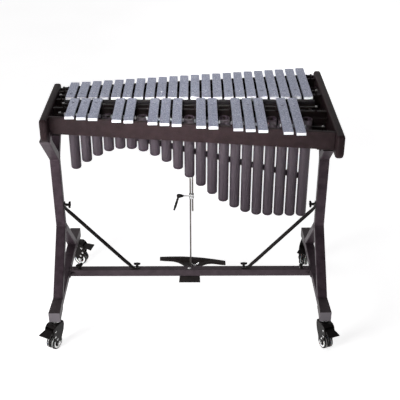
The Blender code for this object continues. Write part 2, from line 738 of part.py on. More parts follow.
def make_side_frames():
    window_top = FORK_HEIGHT - LEG_DROP + TUBE_WIDTH / 2
    window_half = window_top - RUNNER_TOP
    for name, side in (("left_side_frame", -1), ("right_side_frame", 1)):
        inner = side * (FRAME_X - FRAME_WIDTH / 2)
        outer = side * (FRAME_X + FRAME_WIDTH / 2)
        bm = bmesh.new()
        slab(bm, side_frame_outline(), "x", inner, outer)
        frame = piece(name, bm, "stand_black")
        window = bmesh.new()
        triangle = ((-window_half, RUNNER_TOP), (window_half, RUNNER_TOP), (0.0, window_top))
        slab(window, triangle, "x", inner - side * CUT_PAST, outer + side * CUT_PAST)
        combine(frame, window, "DIFFERENCE")


def make_feet():
    """Tapered foot blocks that carry the caster stems."""
    for name, side, end, _ in CASTERS:
        narrow = FRAME_WIDTH / 2
        wide = FOOT_WIDTH / 2
        x = side * FRAME_X
        inner = end * (RUNNER_END + GAP)
        outer = end * FOOT_END
        bm = bmesh.new()
        plan = ((x - narrow, inner), (x + narrow, inner), (x + wide, outer), (x - wide, outer))
        slab(bm, plan, "z", FOOT_BOTTOM, FOOT_TOP)
        block = piece(f"{name}_foot_block", bm, "stand_black")
        bore = bmesh.new()
        centre = (x, end * STEM_Y)
        rod(bore, (*centre, FOOT_BOTTOM - CUT_PAST), (*centre, STEM_TOP + GAP), STEM_RADIUS + GAP, STEM_SIDES)
        combine(block, bore, "DIFFERENCE")


def make_crossbar():
    half = TUBE_WIDTH / 2
    inner = half - CROSSBAR_WALL
    reach = FRAME_X - FRAME_WIDTH / 2 - GAP
    middle = RUNNER_TOP - half
    signs = ((-1, -1), (1, -1), (1, 1), (-1, 1))
    rings = []
    for x, size in ((-reach, half), (reach, half), (reach, inner), (-reach, inner)):
        rings.append([(x, size * sy, middle + size * sz) for sy, sz in signs])
    bm = bmesh.new()
    loft(bm, rings, closed=True)
    piece("crossbar", bm, "stand_black")


def make_braces():
    """Round diagonal stays with flattened ends, one from each column to the crossbar."""
    face = FRAME_X - FRAME_WIDTH / 2
    tab_x = face - TAB_HALF_THICKNESS - GAP
    tab_z = RUNNER_TOP + TAB_HALF_THICKNESS + GAP
    flat = (TAB_HALF_WIDTH, TAB_HALF_THICKNESS)
    round_size = (BRACE_RADIUS, BRACE_RADIUS)
    route = (
        ((tab_x, BRACE_COLUMN_Z + TAB_HALF_LENGTH), flat),
        ((tab_x, BRACE_COLUMN_Z - TAB_HALF_LENGTH), flat),
        ((tab_x - BRACE_KNEE[0], BRACE_COLUMN_Z - BRACE_KNEE[1]), round_size),
        ((BRACE_BAR_X + BRACE_HEEL[0], tab_z + BRACE_HEEL[1]), round_size),
        ((BRACE_BAR_X, tab_z), flat),
        ((BRACE_BAR_X - BRACE_FOOT, tab_z), flat),
    )
    tangents = []
    for i in range(len(route)):
        before = route[max(i - 1, 0)][0]
        after = route[min(i + 1, len(route) - 1)][0]
        tangents.append(Vector((after[0] - before[0], 0, after[1] - before[1])).normalized())
    for name, side in (("left_brace", -1), ("right_brace", 1)):
        rings = []
        for ((x, z), (wide, thick)), tangent in zip(route, tangents):
            normal = Vector((-tangent.z, 0, tangent.x))
            centre = Vector((x, 0, z))
            points = []
            for step in range(8):
                angle = 2 * math.pi * (step + 0.5) / 8
                offset = Vector((0, 1, 0)) * (wide * math.cos(angle)) + normal * (thick * math.sin(angle))
                points.append(centre + offset)
            rings.append([(side * p.x, p.y, p.z) for p in points])
        bm = bmesh.new()
        loft(bm, rings)
        piece(name, bm, "stand_black", smooth=True)


def make_knob(name, base, axis, wing):
    """A wing knob: square neck and a flat cross handle, on a screw along axis."""
    base, axis, wing = Vector(base), Vector(axis), Vector(wing)
    third = axis.cross(wing)
    rings = []
    for distance, a, b in KNOB_SECTIONS:
        centre = base + axis * distance
        corners = ((-a, -b), (a, -b), (a, b), (-a, b))
        rings.append([centre + wing * p + third * q for p, q in corners])
    bm = bmesh.new()
    loft(bm, rings)
    piece(name, bm, "black_plastic", origin=base)


def make_knobs():
    face = FRAME_X - FRAME_WIDTH / 2 - 2 * TAB_HALF_THICKNESS - 2 * GAP
    top = RUNNER_TOP + 2 * TAB_HALF_THICKNESS + 2 * GAP
    lean = math.sqrt(0.5)
    for name, side in (("left", -1), ("right", 1)):
        make_knob(f"{name}_column_knob", (side * face, 0, BRACE_COLUMN_Z), (-side, 0, 0), (0, lean, lean))
        brace_knob_x = side * (BRACE_BAR_X - BRACE_KNOB_INSET)
        make_knob(f"{name}_brace_knob", (brace_knob_x, 0, top), (0, 0, 1), (1, 0, 0))
        crossbar_seat = (side * CROSSBAR_KNOB_X, 0, RUNNER_TOP + GAP)
        make_knob(f"{name}_crossbar_knob", crossbar_seat, (0, 0, 1), (lean, lean, 0))


# ---- casters --------------------------------------------------------------------------------
def make_caster(name, side, end, heading):
    """Twin-wheel caster with a brake pedal; heading is the direction in which it trails."""
    stem = Vector((side * FRAME_X, end * STEM_Y, 0))
    angle = math.radians(heading)
    out = Vector((math.cos(angle), math.sin(angle), 0))
    lateral = Vector((-math.sin(angle), math.cos(angle), 0))
    up = Vector((0, 0, 1))

    def at(u, v, z):
        return stem + out * u + lateral * v + up * z

    bm = bmesh.new()
    loft(bm, [[at(u, v, z) for u, z in HOOD] for v in (-CHEEK_OUTER, CHEEK_OUTER)])
    fork = piece(f"{name}_caster_fork", bm, "black_plastic", origin=at(0, 0, CROWN_TOP))
    cutter = bmesh.new()
    loft(cutter, [[at(u, v, z) for u, z in HOOD_SLOT] for v in (-CHEEK_INNER, CHEEK_INNER)])
    combine(fork, cutter, "DIFFERENCE")
    swivel = bmesh.new()
    race_top = FOOT_BOTTOM - GAP - CROWN_TOP + RACE_ROOT
    stem_end = STEM_TOP - CROWN_TOP + RACE_ROOT
    low_race, high_race = RACE_RADII
    profile = ((0, low_race), (race_top, high_race), (race_top, STEM_RADIUS), (stem_end, STEM_RADIUS))
    turned(swivel, at(0, 0, CROWN_TOP - RACE_ROOT), at(0, 0, STEM_TOP), profile, STEM_SIDES)
    combine(fork, swivel, "UNION")
    bore = bmesh.new()
    centre = at(WHEEL_TRAIL, 0, WHEEL_RADIUS)
    reach = CHEEK_OUTER + CUT_PAST
    rod(bore, centre - lateral * reach, centre + lateral * reach, AXLE_RADIUS + GAP, AXLE_SIDES)
    combine(fork, bore, "DIFFERENCE")

    bm = bmesh.new()
    seat = CHEEK_OUTER + GAP
    start = centre - lateral * (seat + BOLT_HEAD)
    far_head = BOLT_HEAD + 2 * seat
    bolt = (
        (0, BOLT_RADIUS), (BOLT_HEAD, BOLT_RADIUS), (BOLT_HEAD, AXLE_RADIUS),
        (far_head, AXLE_RADIUS), (far_head, BOLT_RADIUS), (far_head + BOLT_HEAD, BOLT_RADIUS),
    )
    turned(bm, start, centre, bolt, AXLE_SIDES)
    piece(f"{name}_caster_axle", bm, "bright_steel", origin=centre)

    bm = bmesh.new()
    outer = WHEEL_INNER_FACE + WHEEL_WIDTH
    inner = WHEEL_INNER_FACE
    low_edge = WHEEL_RADIUS - WHEEL_ROUND
    right_half = (
        (inner, WHEEL_HUB), (inner, low_edge), (inner + WHEEL_ROUND, WHEEL_RADIUS),
        (outer - WHEEL_ROUND, WHEEL_RADIUS), (outer, low_edge), (outer, AXLE_BORE),
    )
    left_half = tuple((-distance, radius) for distance, radius in reversed(right_half))
    turned(bm, centre, centre + lateral, left_half + right_half, WHEEL_SIDES, closed=True)
    piece(f"{name}_caster_wheels", bm, "tyre_black", origin=centre, smooth=True)

    rings = []
    for u, half, low, high in BRAKE_SECTIONS:
        rings.append([at(u, -half, low), at(u, half, low), at(u, half, high), at(u, -half, high)])
    bm = bmesh.new()
    loft(bm, rings)
    piece(f"{name}_brake_pedal", bm, "black_plastic", origin=at(BRAKE_U, 0, BRAKE_Z))


# ---- assembly -------------------------------------------------------------------------------
def clear_scene():
    for old in list(bpy.data.objects):
        bpy.data.objects.remove(old)
    for old in list(bpy.data.materials):
        bpy.data.materials.remove(old)


def stand_on_origin(root):
    """Moves the whole part so that the middle of its bounding box is over the origin."""
    bpy.context.view_layer.update()
    solids = [o for o in bpy.data.objects if o.type == "MESH" and not o.hide_render]
    corners = [o.matrix_world @ v.co for o in solids for v in o.data.vertices]
    middle_x = (min(c.x for c in corners) + max(c.x for c in corners)) / 2
    middle_y = (min(c.y for c in corners) + max(c.y for c in corners)) / 2
    lowest = min(c.z for c in corners)
    root.location = (-middle_x, -middle_y, -lowest)
    bpy.context.view_layer.update()


def main():
    clear_scene()
    root = bpy.data.objects.new("vibraphone", None)
    bpy.context.collection.objects.link(root)
    make_end_boards()
    make_long_rails()
    make_ledges()
    make_bar_rails()
    make_bars()
    make_resonators()
    make_damper()
    make_pull_rods()
    make_pedal()
    make_pedal_bracket()
    make_side_frames()
    make_feet()
    make_crossbar()
    make_braces()
    make_knobs()
    for caster in CASTERS:
        make_caster(*caster)
    stand_on_origin(root)


main()
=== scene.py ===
"""Looks of the vibraphone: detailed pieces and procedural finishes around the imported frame.

World axes: +X runs along the bars towards the longest ones, -Y is the audience's side, +Z is up.
"""

import json
import math

import bmesh
import bpy
from mathutils import Matrix, Vector


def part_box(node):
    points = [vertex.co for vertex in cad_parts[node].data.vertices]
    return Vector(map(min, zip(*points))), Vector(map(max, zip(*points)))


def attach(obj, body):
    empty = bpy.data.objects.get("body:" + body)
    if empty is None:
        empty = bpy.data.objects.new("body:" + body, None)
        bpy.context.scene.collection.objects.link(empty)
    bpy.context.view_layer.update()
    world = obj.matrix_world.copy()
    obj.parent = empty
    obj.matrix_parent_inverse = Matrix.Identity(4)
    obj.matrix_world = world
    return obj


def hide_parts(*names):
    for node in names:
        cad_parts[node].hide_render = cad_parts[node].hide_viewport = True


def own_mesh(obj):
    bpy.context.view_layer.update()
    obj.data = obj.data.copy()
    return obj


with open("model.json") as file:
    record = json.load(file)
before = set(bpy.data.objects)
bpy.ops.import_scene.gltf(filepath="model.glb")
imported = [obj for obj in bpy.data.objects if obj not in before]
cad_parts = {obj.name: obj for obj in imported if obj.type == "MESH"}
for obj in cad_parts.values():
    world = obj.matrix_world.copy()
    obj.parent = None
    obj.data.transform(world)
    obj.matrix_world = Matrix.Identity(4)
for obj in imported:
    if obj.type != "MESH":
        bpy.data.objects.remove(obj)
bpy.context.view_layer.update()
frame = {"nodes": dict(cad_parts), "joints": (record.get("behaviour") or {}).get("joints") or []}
JOINTS = {joint["name"]: joint for joint in frame["joints"]}
TINY = 0.0004
UP = Vector((0, 0, 1))
ALONG = Vector((1, 0, 0))
AWAY = Vector((0, 1, 0))
CASTERS = ("near_left", "far_left", "near_right", "far_right")
ROWS = ("natural", "accidental")
# each end of the stand, and the way along X from it into the stand
ENDS = (("left", 1), ("right", -1))
SHARP_ANGLE = 32


# ---- reading the frame ----------------------------------------------------------------------
def extent(points):
    """Lowest and highest corner of some points."""
    low = Vector([min(p[i] for p in points) for i in range(3)])
    high = Vector([max(p[i] for p in points) for i in range(3)])
    return low, high


def node_points(node, keep):
    return [v.co.copy() for v in frame["nodes"][node].data.vertices if keep(v.co)]


def box(node):
    low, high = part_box(node)
    return Vector(low), Vector(high)


def middle(node):
    low, high = box(node)
    return (low + high) / 2


def groups(points, gap):
    """Extents of the clumps that points form along X, wherever neighbours lie a gap apart."""
    points = sorted(points, key=lambda p: p.x)
    clumps = [[points[0]]]
    for before, point in zip(points, points[1:]):
        if point.x - before.x > gap:
            clumps.append([])
        clumps[-1].append(point)
    return [extent(clump) for clump in clumps]


def end_faces(node):
    """Extents of a long rail's left and right end faces."""
    low, high = box(node)
    return [extent(node_points(node, lambda p, x=x: abs(p.x - x) < TINY)) for x in (low.x, high.x)]


def section_at(node, x):
    """Extent of a straight rail's section at an X between its ends."""
    (left_low, left_high), (right_low, right_high) = end_faces(node)
    share = (x - left_low.x) / (right_low.x - left_low.x)
    return left_low.lerp(right_low, share), left_high.lerp(right_high, share)


def bar_places(node):
    """(left, right, near, far) of every bar of a row, read from the corners of the bars' tops."""
    top = box(node)[1].z
    sides = groups(node_points(node, lambda p: p.z > top - TINY), 0.001)
    places = []
    for (low, _), (_, high) in zip(sides[::2], sides[1::2]):
        places.append((low.x, high.x, low.y, high.y))
    return places


BARS = {row: bar_places(f"{row}_bars") for row in ROWS}
NATURAL_XS = [(left + right) / 2 for left, right, _, _ in BARS["natural"]]
PITCH = (NATURAL_XS[-1] - NATURAL_XS[0]) / (len(NATURAL_XS) - 1)
BAR_TOP = box("natural_bars")[1].z
CORD_Z = (box("natural_bars")[0].z + BAR_TOP) / 2


# ---- mesh shapes ----------------------------------------------------------------------------
def loft(rings, closed=False):
    """Skins rings of points; a ring of one point is a tip, and open lofts get flat ends."""
    bm = bmesh.new()
    loops = [[bm.verts.new(point) for point in ring] for ring in rings]
    pairs = list(zip(loops, loops[1:]))
    if closed:
        pairs.append((loops[-1], loops[0]))
    for low, high in pairs:
        count = max(len(low), len(high))
        for i in range(count):
            j = (i + 1) % count
            corners = [low[i % len(low)], low[j % len(low)], high[j % len(high)], high[i % len(high)]]
            distinct = list(dict.fromkeys(corners))
            if len(distinct) > 2:
                bm.faces.new(distinct)
    if not closed:
        for loop in (loops[0], loops[-1]):
            if len(loop) > 2:
                bm.faces.new(loop)
    bmesh.ops.recalc_face_normals(bm, faces=bm.faces)
    return bm


def slab(outline, axis, low, high):
    """A flat outline given in the other two axes, extruded along one axis."""
    order = {"x": lambda a, b, t: (t, a, b), "y": lambda a, b, t: (a, t, b), "z": lambda a, b, t: (a, b, t)}
    return loft([[order[axis](a, b, t) for a, b in outline] for t in (low, high)])


def across(direction):
    side = UP if abs(direction.z) < 0.9 else ALONG
    u = direction.cross(side).normalized()
    return u, direction.cross(u).normalized()


def turned(start, axis, profile, sides=32, closed=False):
    """A turned shape: profile is (distance along the axis, radius)."""
    start, axis = Vector(start), Vector(axis).normalized()
    u, v = across(axis)
    rings = []
    for distance, radius in profile:
        centre = start + axis * distance
        if radius < 1e-6:
            rings.append([centre])
            continue
        turns = [2 * math.pi * (i + 0.5) / sides for i in range(sides)]
        rings.append([centre + radius * (math.cos(t) * u + math.sin(t) * v) for t in turns])
    return loft(rings, closed)


def sweep(points, radius, sides=14, flat=1.0):
    """A round rod along a route; radius is a number or a function of the share of the route."""
    points = [Vector(p) for p in points]
    tangents = []
    for i in range(len(points)):
        step = points[min(i + 1, len(points) - 1)] - points[max(i - 1, 0)]
        tangents.append(step.normalized())
    u = across(tangents[0])[0]
    rings = []
    for i, (point, tangent) in enumerate(zip(points, tangents)):
        u = (u - tangent * u.dot(tangent)).normalized()
        v = tangent.cross(u)
        size = radius(i / (len(points) - 1)) if callable(radius) else radius
        turns = [2 * math.pi * k / sides for k in range(sides)]
        rings.append([point + size * (math.cos(t) * u + flat * math.sin(t) * v) for t in turns])
    return loft(rings)


def smooth_route(points, steps=8):
    """A smooth curve through a few points."""
    points = [Vector(p) for p in points]
    padded = [2 * points[0] - points[1], *points, 2 * points[-1] - points[-2]]
    route = []
    for a, b, c, d in zip(padded, padded[1:], padded[2:], padded[3:]):
        for step in range(steps):
            t = step / steps
            route.append(0.5 * (2 * b + (c - a) * t + (2 * a - 5 * b + 4 * c - d) * t ** 2
                                + (3 * b - a - 3 * c + d) * t ** 3))
    return [*route, points[-1]]


def soften(bm, width, segments=3, angle=28):
    """Rounds every edge that is sharper than an angle."""
    sharp = [e for e in bm.edges if len(e.link_faces) == 2 and e.calc_face_angle() > math.radians(angle)]
    bmesh.ops.bevel(bm, geom=sharp, offset=width, offset_type="OFFSET", segments=segments, profile=0.5,
                    affect="EDGES", clamp_overlap=True)
    return bm


def block(low, high, width=0.001, segments=3):
    """A block with rounded edges."""
    (x0, y0, z0), (x1, y1, z1) = low, high
    rings = [[(x0, y0, z), (x1, y0, z), (x1, y1, z), (x0, y1, z)] for z in (z0, z1)]
    return soften(loft(rings), width, segments)


def rail_shape(node, width, segments):
    """A straight rail between the end faces of a CAD node, with rounded edges."""
    rings = []
    for low, high in end_faces(node):
        x = low.x
        rings.append([(x, low.y, low.z), (x, high.y, low.z), (x, high.y, high.z), (x, low.y, high.z)])
    return soften(loft(rings), width, segments)


def cad_copy(node, width, segments=3, angle=28):
    """A copy of a CAD node's shape with rounded edges."""
    bm = bmesh.new()
    bm.from_mesh(frame["nodes"][node].data)
    bmesh.ops.remove_doubles(bm, verts=bm.verts, dist=0.00001)
    bmesh.ops.dissolve_limit(bm, angle_limit=math.radians(1), verts=bm.verts, edges=bm.edges)
    return soften(bm, width, segments, angle)


def rounded_ring(sides, power, first=0.5):
    """Points round a rounded square of half width 1; a lower power gives squarer corners."""
    ring = []
    for step in range(sides):
        angle = 2 * math.pi * (step + first) / sides
        a, b = math.cos(angle), math.sin(angle)
        ring.append((math.copysign(abs(a) ** power, a), math.copysign(abs(b) ** power, b)))
    return ring


def chamfered(at, axis, length, radius, chamfer, drop, sides):
    """A plain rod whose two ends narrow by a drop over a chamfer."""
    profile = ((0, radius - drop), (chamfer, radius), (length - chamfer, radius), (length, radius - drop))
    return turned(at, axis, profile, sides)


def joined(shapes):
    """One bmesh that holds all the shapes."""
    bm = bmesh.new()
    for shape in shapes:
        mesh = bpy.data.meshes.new("shape")
        shape.to_mesh(mesh)
        shape.free()
        bm.from_mesh(mesh)
        bpy.data.meshes.remove(mesh)
    return bm


def placed(bm, origin, axis, wing):
    """Moves a shape made round the origin so that its Z is axis and its X is wing."""
    axis, wing = Vector(axis).normalized(), Vector(wing).normalized()
    side = axis.cross(wing)
    turn = Matrix((wing, side, axis)).transposed().to_4x4()
    bmesh.ops.transform(bm, matrix=Matrix.Translation(origin) @ turn, verts=bm.verts)
    return bm


def button_screw(at, axis, radius=0.0045):
    """A domed screw head with a round socket, on a thin washer."""
    washer, socket = 0.0008, 0.0012
    profile = (
        (0, radius * 1.5), (0.0006, radius * 1.5), (washer, radius * 1.42), (washer, radius),
        (0.0016, radius),
        (washer + radius * 0.42, radius * 0.86), (washer + radius * 0.58, radius * 0.55),
        (washer + radius * 0.56, radius * 0.45), (socket, radius * 0.40), (socket, 0),
    )
    return turned(at, axis, profile, 20)


def hex_bolt(at, axis, radius, height):
    """A hexagon head on a washer."""
    washer = turned(at, axis, ((0, radius * 1.35), (0.001, radius * 1.35), (0.0012, radius * 1.28),
                               (0.0012, radius * 0.5)), 24)
    start = Vector(at) + Vector(axis).normalized() * 0.0011
    head = turned(start, axis, ((0, radius * 0.96), (0.0004, radius), (height - 0.0005, radius),
                                (height, radius * 0.88), (height + 0.0003, radius * 0.5)), 6)
    return joined([washer, head])


def rail_rivet(node, x):
    """A rivet head on the player's side of a straight rail."""
    low, high = section_at(node, x)
    return rivet((x, high.y, (low.z + high.z) / 2), AWAY, 0.0038)


def rivet(at, axis, radius):
    profile = ((0, radius), (radius * 0.25, radius * 0.97), (radius * 0.5, radius * 0.75), (radius * 0.62, 0))
    return turned(at, axis, profile, 16)


def weld(points, radius):
    """A weld bead: overlapping ripples laid along a short line."""
    step, ripple, depth = 0.0008, 0.0026, 0.18
    start, end = Vector(points[0]), Vector(points[-1])
    length = (end - start).length
    count = max(int(length / step), 4)
    route = [start.lerp(end, i / count) for i in range(count + 1)]
    turns = length / ripple * 2 * math.pi
    return sweep(route, lambda s: radius * (1 - depth + depth * math.sin(s * turns)), 10)


# ---- finishes -------------------------------------------------------------------------------
class Finish:
    """A Principled material whose colour, gloss and relief come from procedural noise."""

    def __init__(self, name, metallic=0.0):
        self.material = bpy.data.materials.new(name)
        self.material.use_nodes = True
        self.nodes = self.material.node_tree.nodes
        self.links = self.material.node_tree.links
        self.surface = self.nodes["Principled BSDF"]
        self.surface.inputs["Metallic"].default_value = metallic
        self.place = self.nodes.new("ShaderNodeTexCoord").outputs["Object"]
        self.relief = None

    def noise(self, scale, stretch=(1, 1, 1), detail=3.0):
        spread = self.nodes.new("ShaderNodeMapping")
        spread.inputs["Scale"].default_value = stretch
        self.links.new(self.place, spread.inputs["Vector"])
        noise = self.nodes.new("ShaderNodeTexNoise")
        noise.inputs["Scale"].default_value = scale
        noise.inputs["Detail"].default_value = detail
        self.links.new(spread.outputs["Vector"], noise.inputs["Vector"])
        return noise.outputs["Fac"]

    def cells(self, scale):
        voronoi = self.nodes.new("ShaderNodeTexVoronoi")
        voronoi.inputs["Scale"].default_value = scale
        self.links.new(self.place, voronoi.inputs["Vector"])
        return voronoi.outputs["Distance"]

    def waves(self, scale, direction, distortion=0.0):
        wave = self.nodes.new("ShaderNodeTexWave")
        wave.bands_direction = direction
        wave.inputs["Scale"].default_value = scale
        wave.inputs["Distortion"].default_value = distortion
        self.links.new(self.place, wave.inputs["Vector"])
        return wave.outputs["Fac"]

    def spread(self, source, low, high, start=0.3, end=0.7):
        """Maps a noise from start..end to low..high."""
        ranged = self.nodes.new("ShaderNodeMapRange")
        for key, value in (("From Min", start), ("From Max", end), ("To Min", low), ("To Max", high)):
            ranged.inputs[key].default_value = value
        self.links.new(source, ranged.inputs["Value"])
        return ranged.outputs["Result"]

    def blend(self, factor, first, second):
        """Mixes two colours, each a tuple or a socket."""
        mix = self.nodes.new("ShaderNodeMix")
        mix.data_type = "RGBA"
        self.links.new(factor, mix.inputs["Factor"])
        for socket, colour in ((mix.inputs[6], first), (mix.inputs[7], second)):
            if isinstance(colour, tuple):
                socket.default_value = (*colour, 1)
            else:
                self.links.new(colour, socket)
        return mix.outputs[2]

    def edges(self, start=0.52, end=0.60):
        """How far the surface is a worn outer edge, from the mesh's own curvature."""
        shape = self.nodes.new("ShaderNodeNewGeometry").outputs["Pointiness"]
        return self.spread(shape, 0.0, 1.0, start, end)

    def facing(self, axis, start, end):
        """How squarely the surface faces along a world axis, from either side."""
        parts = self.nodes.new("ShaderNodeSeparateXYZ")
        self.links.new(self.nodes.new("ShaderNodeNewGeometry").outputs["True Normal"], parts.inputs[0])
        size = self.nodes.new("ShaderNodeMath")
        size.operation = "ABSOLUTE"
        self.links.new(parts.outputs[axis], size.inputs[0])
        return self.spread(size.outputs[0], 0.0, 1.0, start, end)

    def island(self):
        return self.nodes.new("ShaderNodeNewGeometry").outputs["Random Per Island"]

    def emboss(self, height, distance, strength=1.0):
        bump = self.nodes.new("ShaderNodeBump")
        bump.inputs["Strength"].default_value = strength
        bump.inputs["Distance"].default_value = distance
        self.links.new(height, bump.inputs["Height"])
        if self.relief:
            self.links.new(self.relief, bump.inputs["Normal"])
        self.relief = bump.outputs["Normal"]
        self.links.new(self.relief, self.surface.inputs["Normal"])

    def set(self, **values):
        """Sets or links Principled inputs; underscores stand for spaces."""
        for key, value in values.items():
            socket = self.surface.inputs[key.replace("_", " ")]
            if isinstance(value, (int, float)):
                socket.default_value = value
            elif isinstance(value, tuple):
                socket.default_value = (*value, 1)
            else:
                self.links.new(value, socket)


def bar_finish():
    """Satin anodised aluminium with faint cloudy mottling; the end faces along Y carry a painted highlight,
    pale and barely metallic.
    """
    f = Finish("bar_silver", 0.92)
    cloud = f.spread(f.noise(70, detail=5), 0, 1)
    colour = f.blend(cloud, (0.262, 0.280, 0.372), (0.362, 0.386, 0.495))
    tint = f.blend(f.spread(f.island(), 0, 0.5, 0, 1), colour, (0.316, 0.336, 0.425))
    mottle = f.spread(f.noise(210, (1, 0.7, 1), 3.0), 0, 0.75, 0.48, 0.62)
    tint = f.blend(mottle, tint, (0.165, 0.175, 0.230))
    speck = f.spread(f.noise(260, (1, 0.6, 1), 3.0), 0, 0.8, 0.56, 0.68)
    tint = f.blend(speck, tint, (0.66, 0.68, 0.76))
    tint = f.blend(f.edges(0.55, 0.64), tint, (0.72, 0.74, 0.78))
    # painted highlight: faces pointing along Y, the bars' ends, turn pale and lose most of their metal
    painted_lit_ends = f.facing("Y", 0.80, 0.95)
    f.set(Base_Color=f.blend(painted_lit_ends, tint, (0.84, 0.84, 0.88)), Metallic=f.spread(painted_lit_ends, 0.92, 0.15, 0.0, 1.0))
    f.set(Roughness=f.spread(f.noise(1400, (1, 0.05, 1)), 0.36, 0.50), Anisotropic=0.35)
    f.emboss(f.noise(2200, (1, 0.02, 1)), 0.00004, 0.5)
    f.emboss(f.noise(420), 0.00010, 0.6)
    return f.material


def coat_finish(name, dark, light, worn, roughness=(0.36, 0.52), metallic=0.15, grain=620, depth=0.00016,
                ends=None):
    """Textured powder coat: cloudy colour, orange-peel relief, rubbed edges and, if asked, a painted
    highlight on the end faces along Y.
    """
    f = Finish(name, metallic)
    colour = f.blend(f.spread(f.noise(38, detail=6), 0, 1), dark, light)
    fleck = f.spread(f.noise(grain * 1.6), 0, 0.5, 0.55, 0.72)
    colour = f.blend(fleck, colour, worn)
    colour = f.blend(f.spread(f.edges(), 0, 0.55, 0, 1), colour, worn)
    # painted highlight: faces pointing along Y are blended towards the ends colour
    if ends:
        colour = f.blend(f.spread(f.facing("Y", 0.80, 0.95), 0, 0.85, 0, 1), colour, ends)
    f.set(Base_Color=colour, Roughness=f.spread(f.noise(grain), *roughness), Specular_IOR_Level=0.07)
    f.emboss(f.noise(grain, detail=2), depth, 0.9)
    return f.material


def tube_finish():
    """Dark grey metallic lacquer on drawn tube, with faint streaks along each tube."""
    f = Finish("resonator_grey", 0.10)
    streak = f.spread(f.noise(260, (1, 1, 0.04), 4), 0, 1)
    colour = f.blend(streak, (0.021, 0.0135, 0.0200), (0.040, 0.028, 0.039))
    colour = f.blend(f.spread(f.noise(640), 0, 0.5, 0.50, 0.70), colour, (0.066, 0.053, 0.060))
    f.set(Specular_IOR_Level=0.14)
    f.set(Base_Color=f.blend(f.spread(f.edges(0.54, 0.62), 0, 0.4, 0, 1), colour, (0.20, 0.18, 0.19)))
    f.set(Roughness=f.spread(f.noise(500, (1, 1, 0.1)), 0.34, 0.50))
    f.emboss(f.noise(1100, (1, 1, 0.3)), 0.00006, 0.6)
    return f.material


def plastic_finish():
    """Moulded black plastic with a fine spark-eroded grain."""
    f = Finish("black_plastic")
    f.set(Base_Color=f.blend(f.spread(f.noise(120, detail=4), 0, 1), (0.004, 0.003, 0.003),
                             (0.010, 0.008, 0.008)))
    f.set(Roughness=f.spread(f.noise(700), 0.30, 0.44), Specular_IOR_Level=0.12)
    f.emboss(f.cells(1500), 0.00008, 0.5)
    return f.material


def rubber_finish():
    """Black tyre rubber, dusty where it rolls."""
    f = Finish("tyre_black")
    dust = f.spread(f.noise(90, detail=6), 0, 0.45, 0.45, 0.8)
    f.set(Base_Color=f.blend(dust, (0.009, 0.008, 0.008), (0.034, 0.031, 0.029)))
    f.set(Roughness=f.spread(f.noise(400), 0.50, 0.72), Specular_IOR_Level=0.25)
    f.emboss(f.noise(1500), 0.00010, 0.6)
    return f.material


def steel_finish():
    """Bright zinc plate with fine scratches and a few duller patches."""
    f = Finish("bright_steel", 1.0)
    patch = f.spread(f.noise(160, detail=5), 0, 1)
    f.set(Base_Color=f.blend(patch, (0.50, 0.50, 0.51), (0.74, 0.74, 0.73)))
    f.set(Roughness=f.spread(f.noise(900, (1, 1, 0.2)), 0.14, 0.34))
    f.emboss(f.noise(2400, (1, 1, 0.08)), 0.00003, 0.5)
    return f.material


def rod_finish():
    """Drawn steel rod, oiled and dulled by handling."""
    f = Finish("rod_steel", 0.75)
    stain = f.spread(f.noise(140, (1, 1, 0.3), 6), 0, 1)
    f.set(Base_Color=f.blend(stain, (0.085, 0.072, 0.066), (0.190, 0.172, 0.165)))
    f.set(Roughness=f.spread(f.noise(900, (1, 1, 0.15)), 0.26, 0.46))
    f.emboss(f.noise(2400, (1, 1, 0.08)), 0.00003, 0.5)
    return f.material


def felt_finish():
    """Pressed wool felt: matted fibres and a soft sheen."""
    f = Finish("felt_black")
    f.set(Base_Color=f.blend(f.spread(f.noise(800, detail=8), 0, 1), (0.005, 0.004, 0.005),
                             (0.018, 0.016, 0.018)))
    f.set(Roughness=0.95, Specular_IOR_Level=0.05, Sheen_Weight=0.08, Sheen_Roughness=0.4)
    f.emboss(f.noise(1300, detail=8), 0.0006, 0.8)
    return f.material


def cord_finish():
    """Braided suspension cord: two crossing sets of strands."""
    f = Finish("suspension_cord")
    strands = f.waves(900, "DIAGONAL", 2.0)
    f.set(Base_Color=f.blend(strands, (0.012, 0.011, 0.011), (0.045, 0.042, 0.040)), Roughness=0.85)
    f.emboss(strands, 0.0003, 0.9)
    return f.material


def soft_grey_finish(name, dark, light):
    """Light moulded polymer, slightly clouded and handled."""
    f = Finish(name)
    f.set(Base_Color=f.blend(f.spread(f.noise(220, detail=5), 0, 1), dark, light))
    f.set(Roughness=f.spread(f.noise(600), 0.40, 0.60), Subsurface_Weight=0.05, Subsurface_Scale=0.002)
    f.emboss(f.noise(900), 0.00006, 0.5)
    return f.material


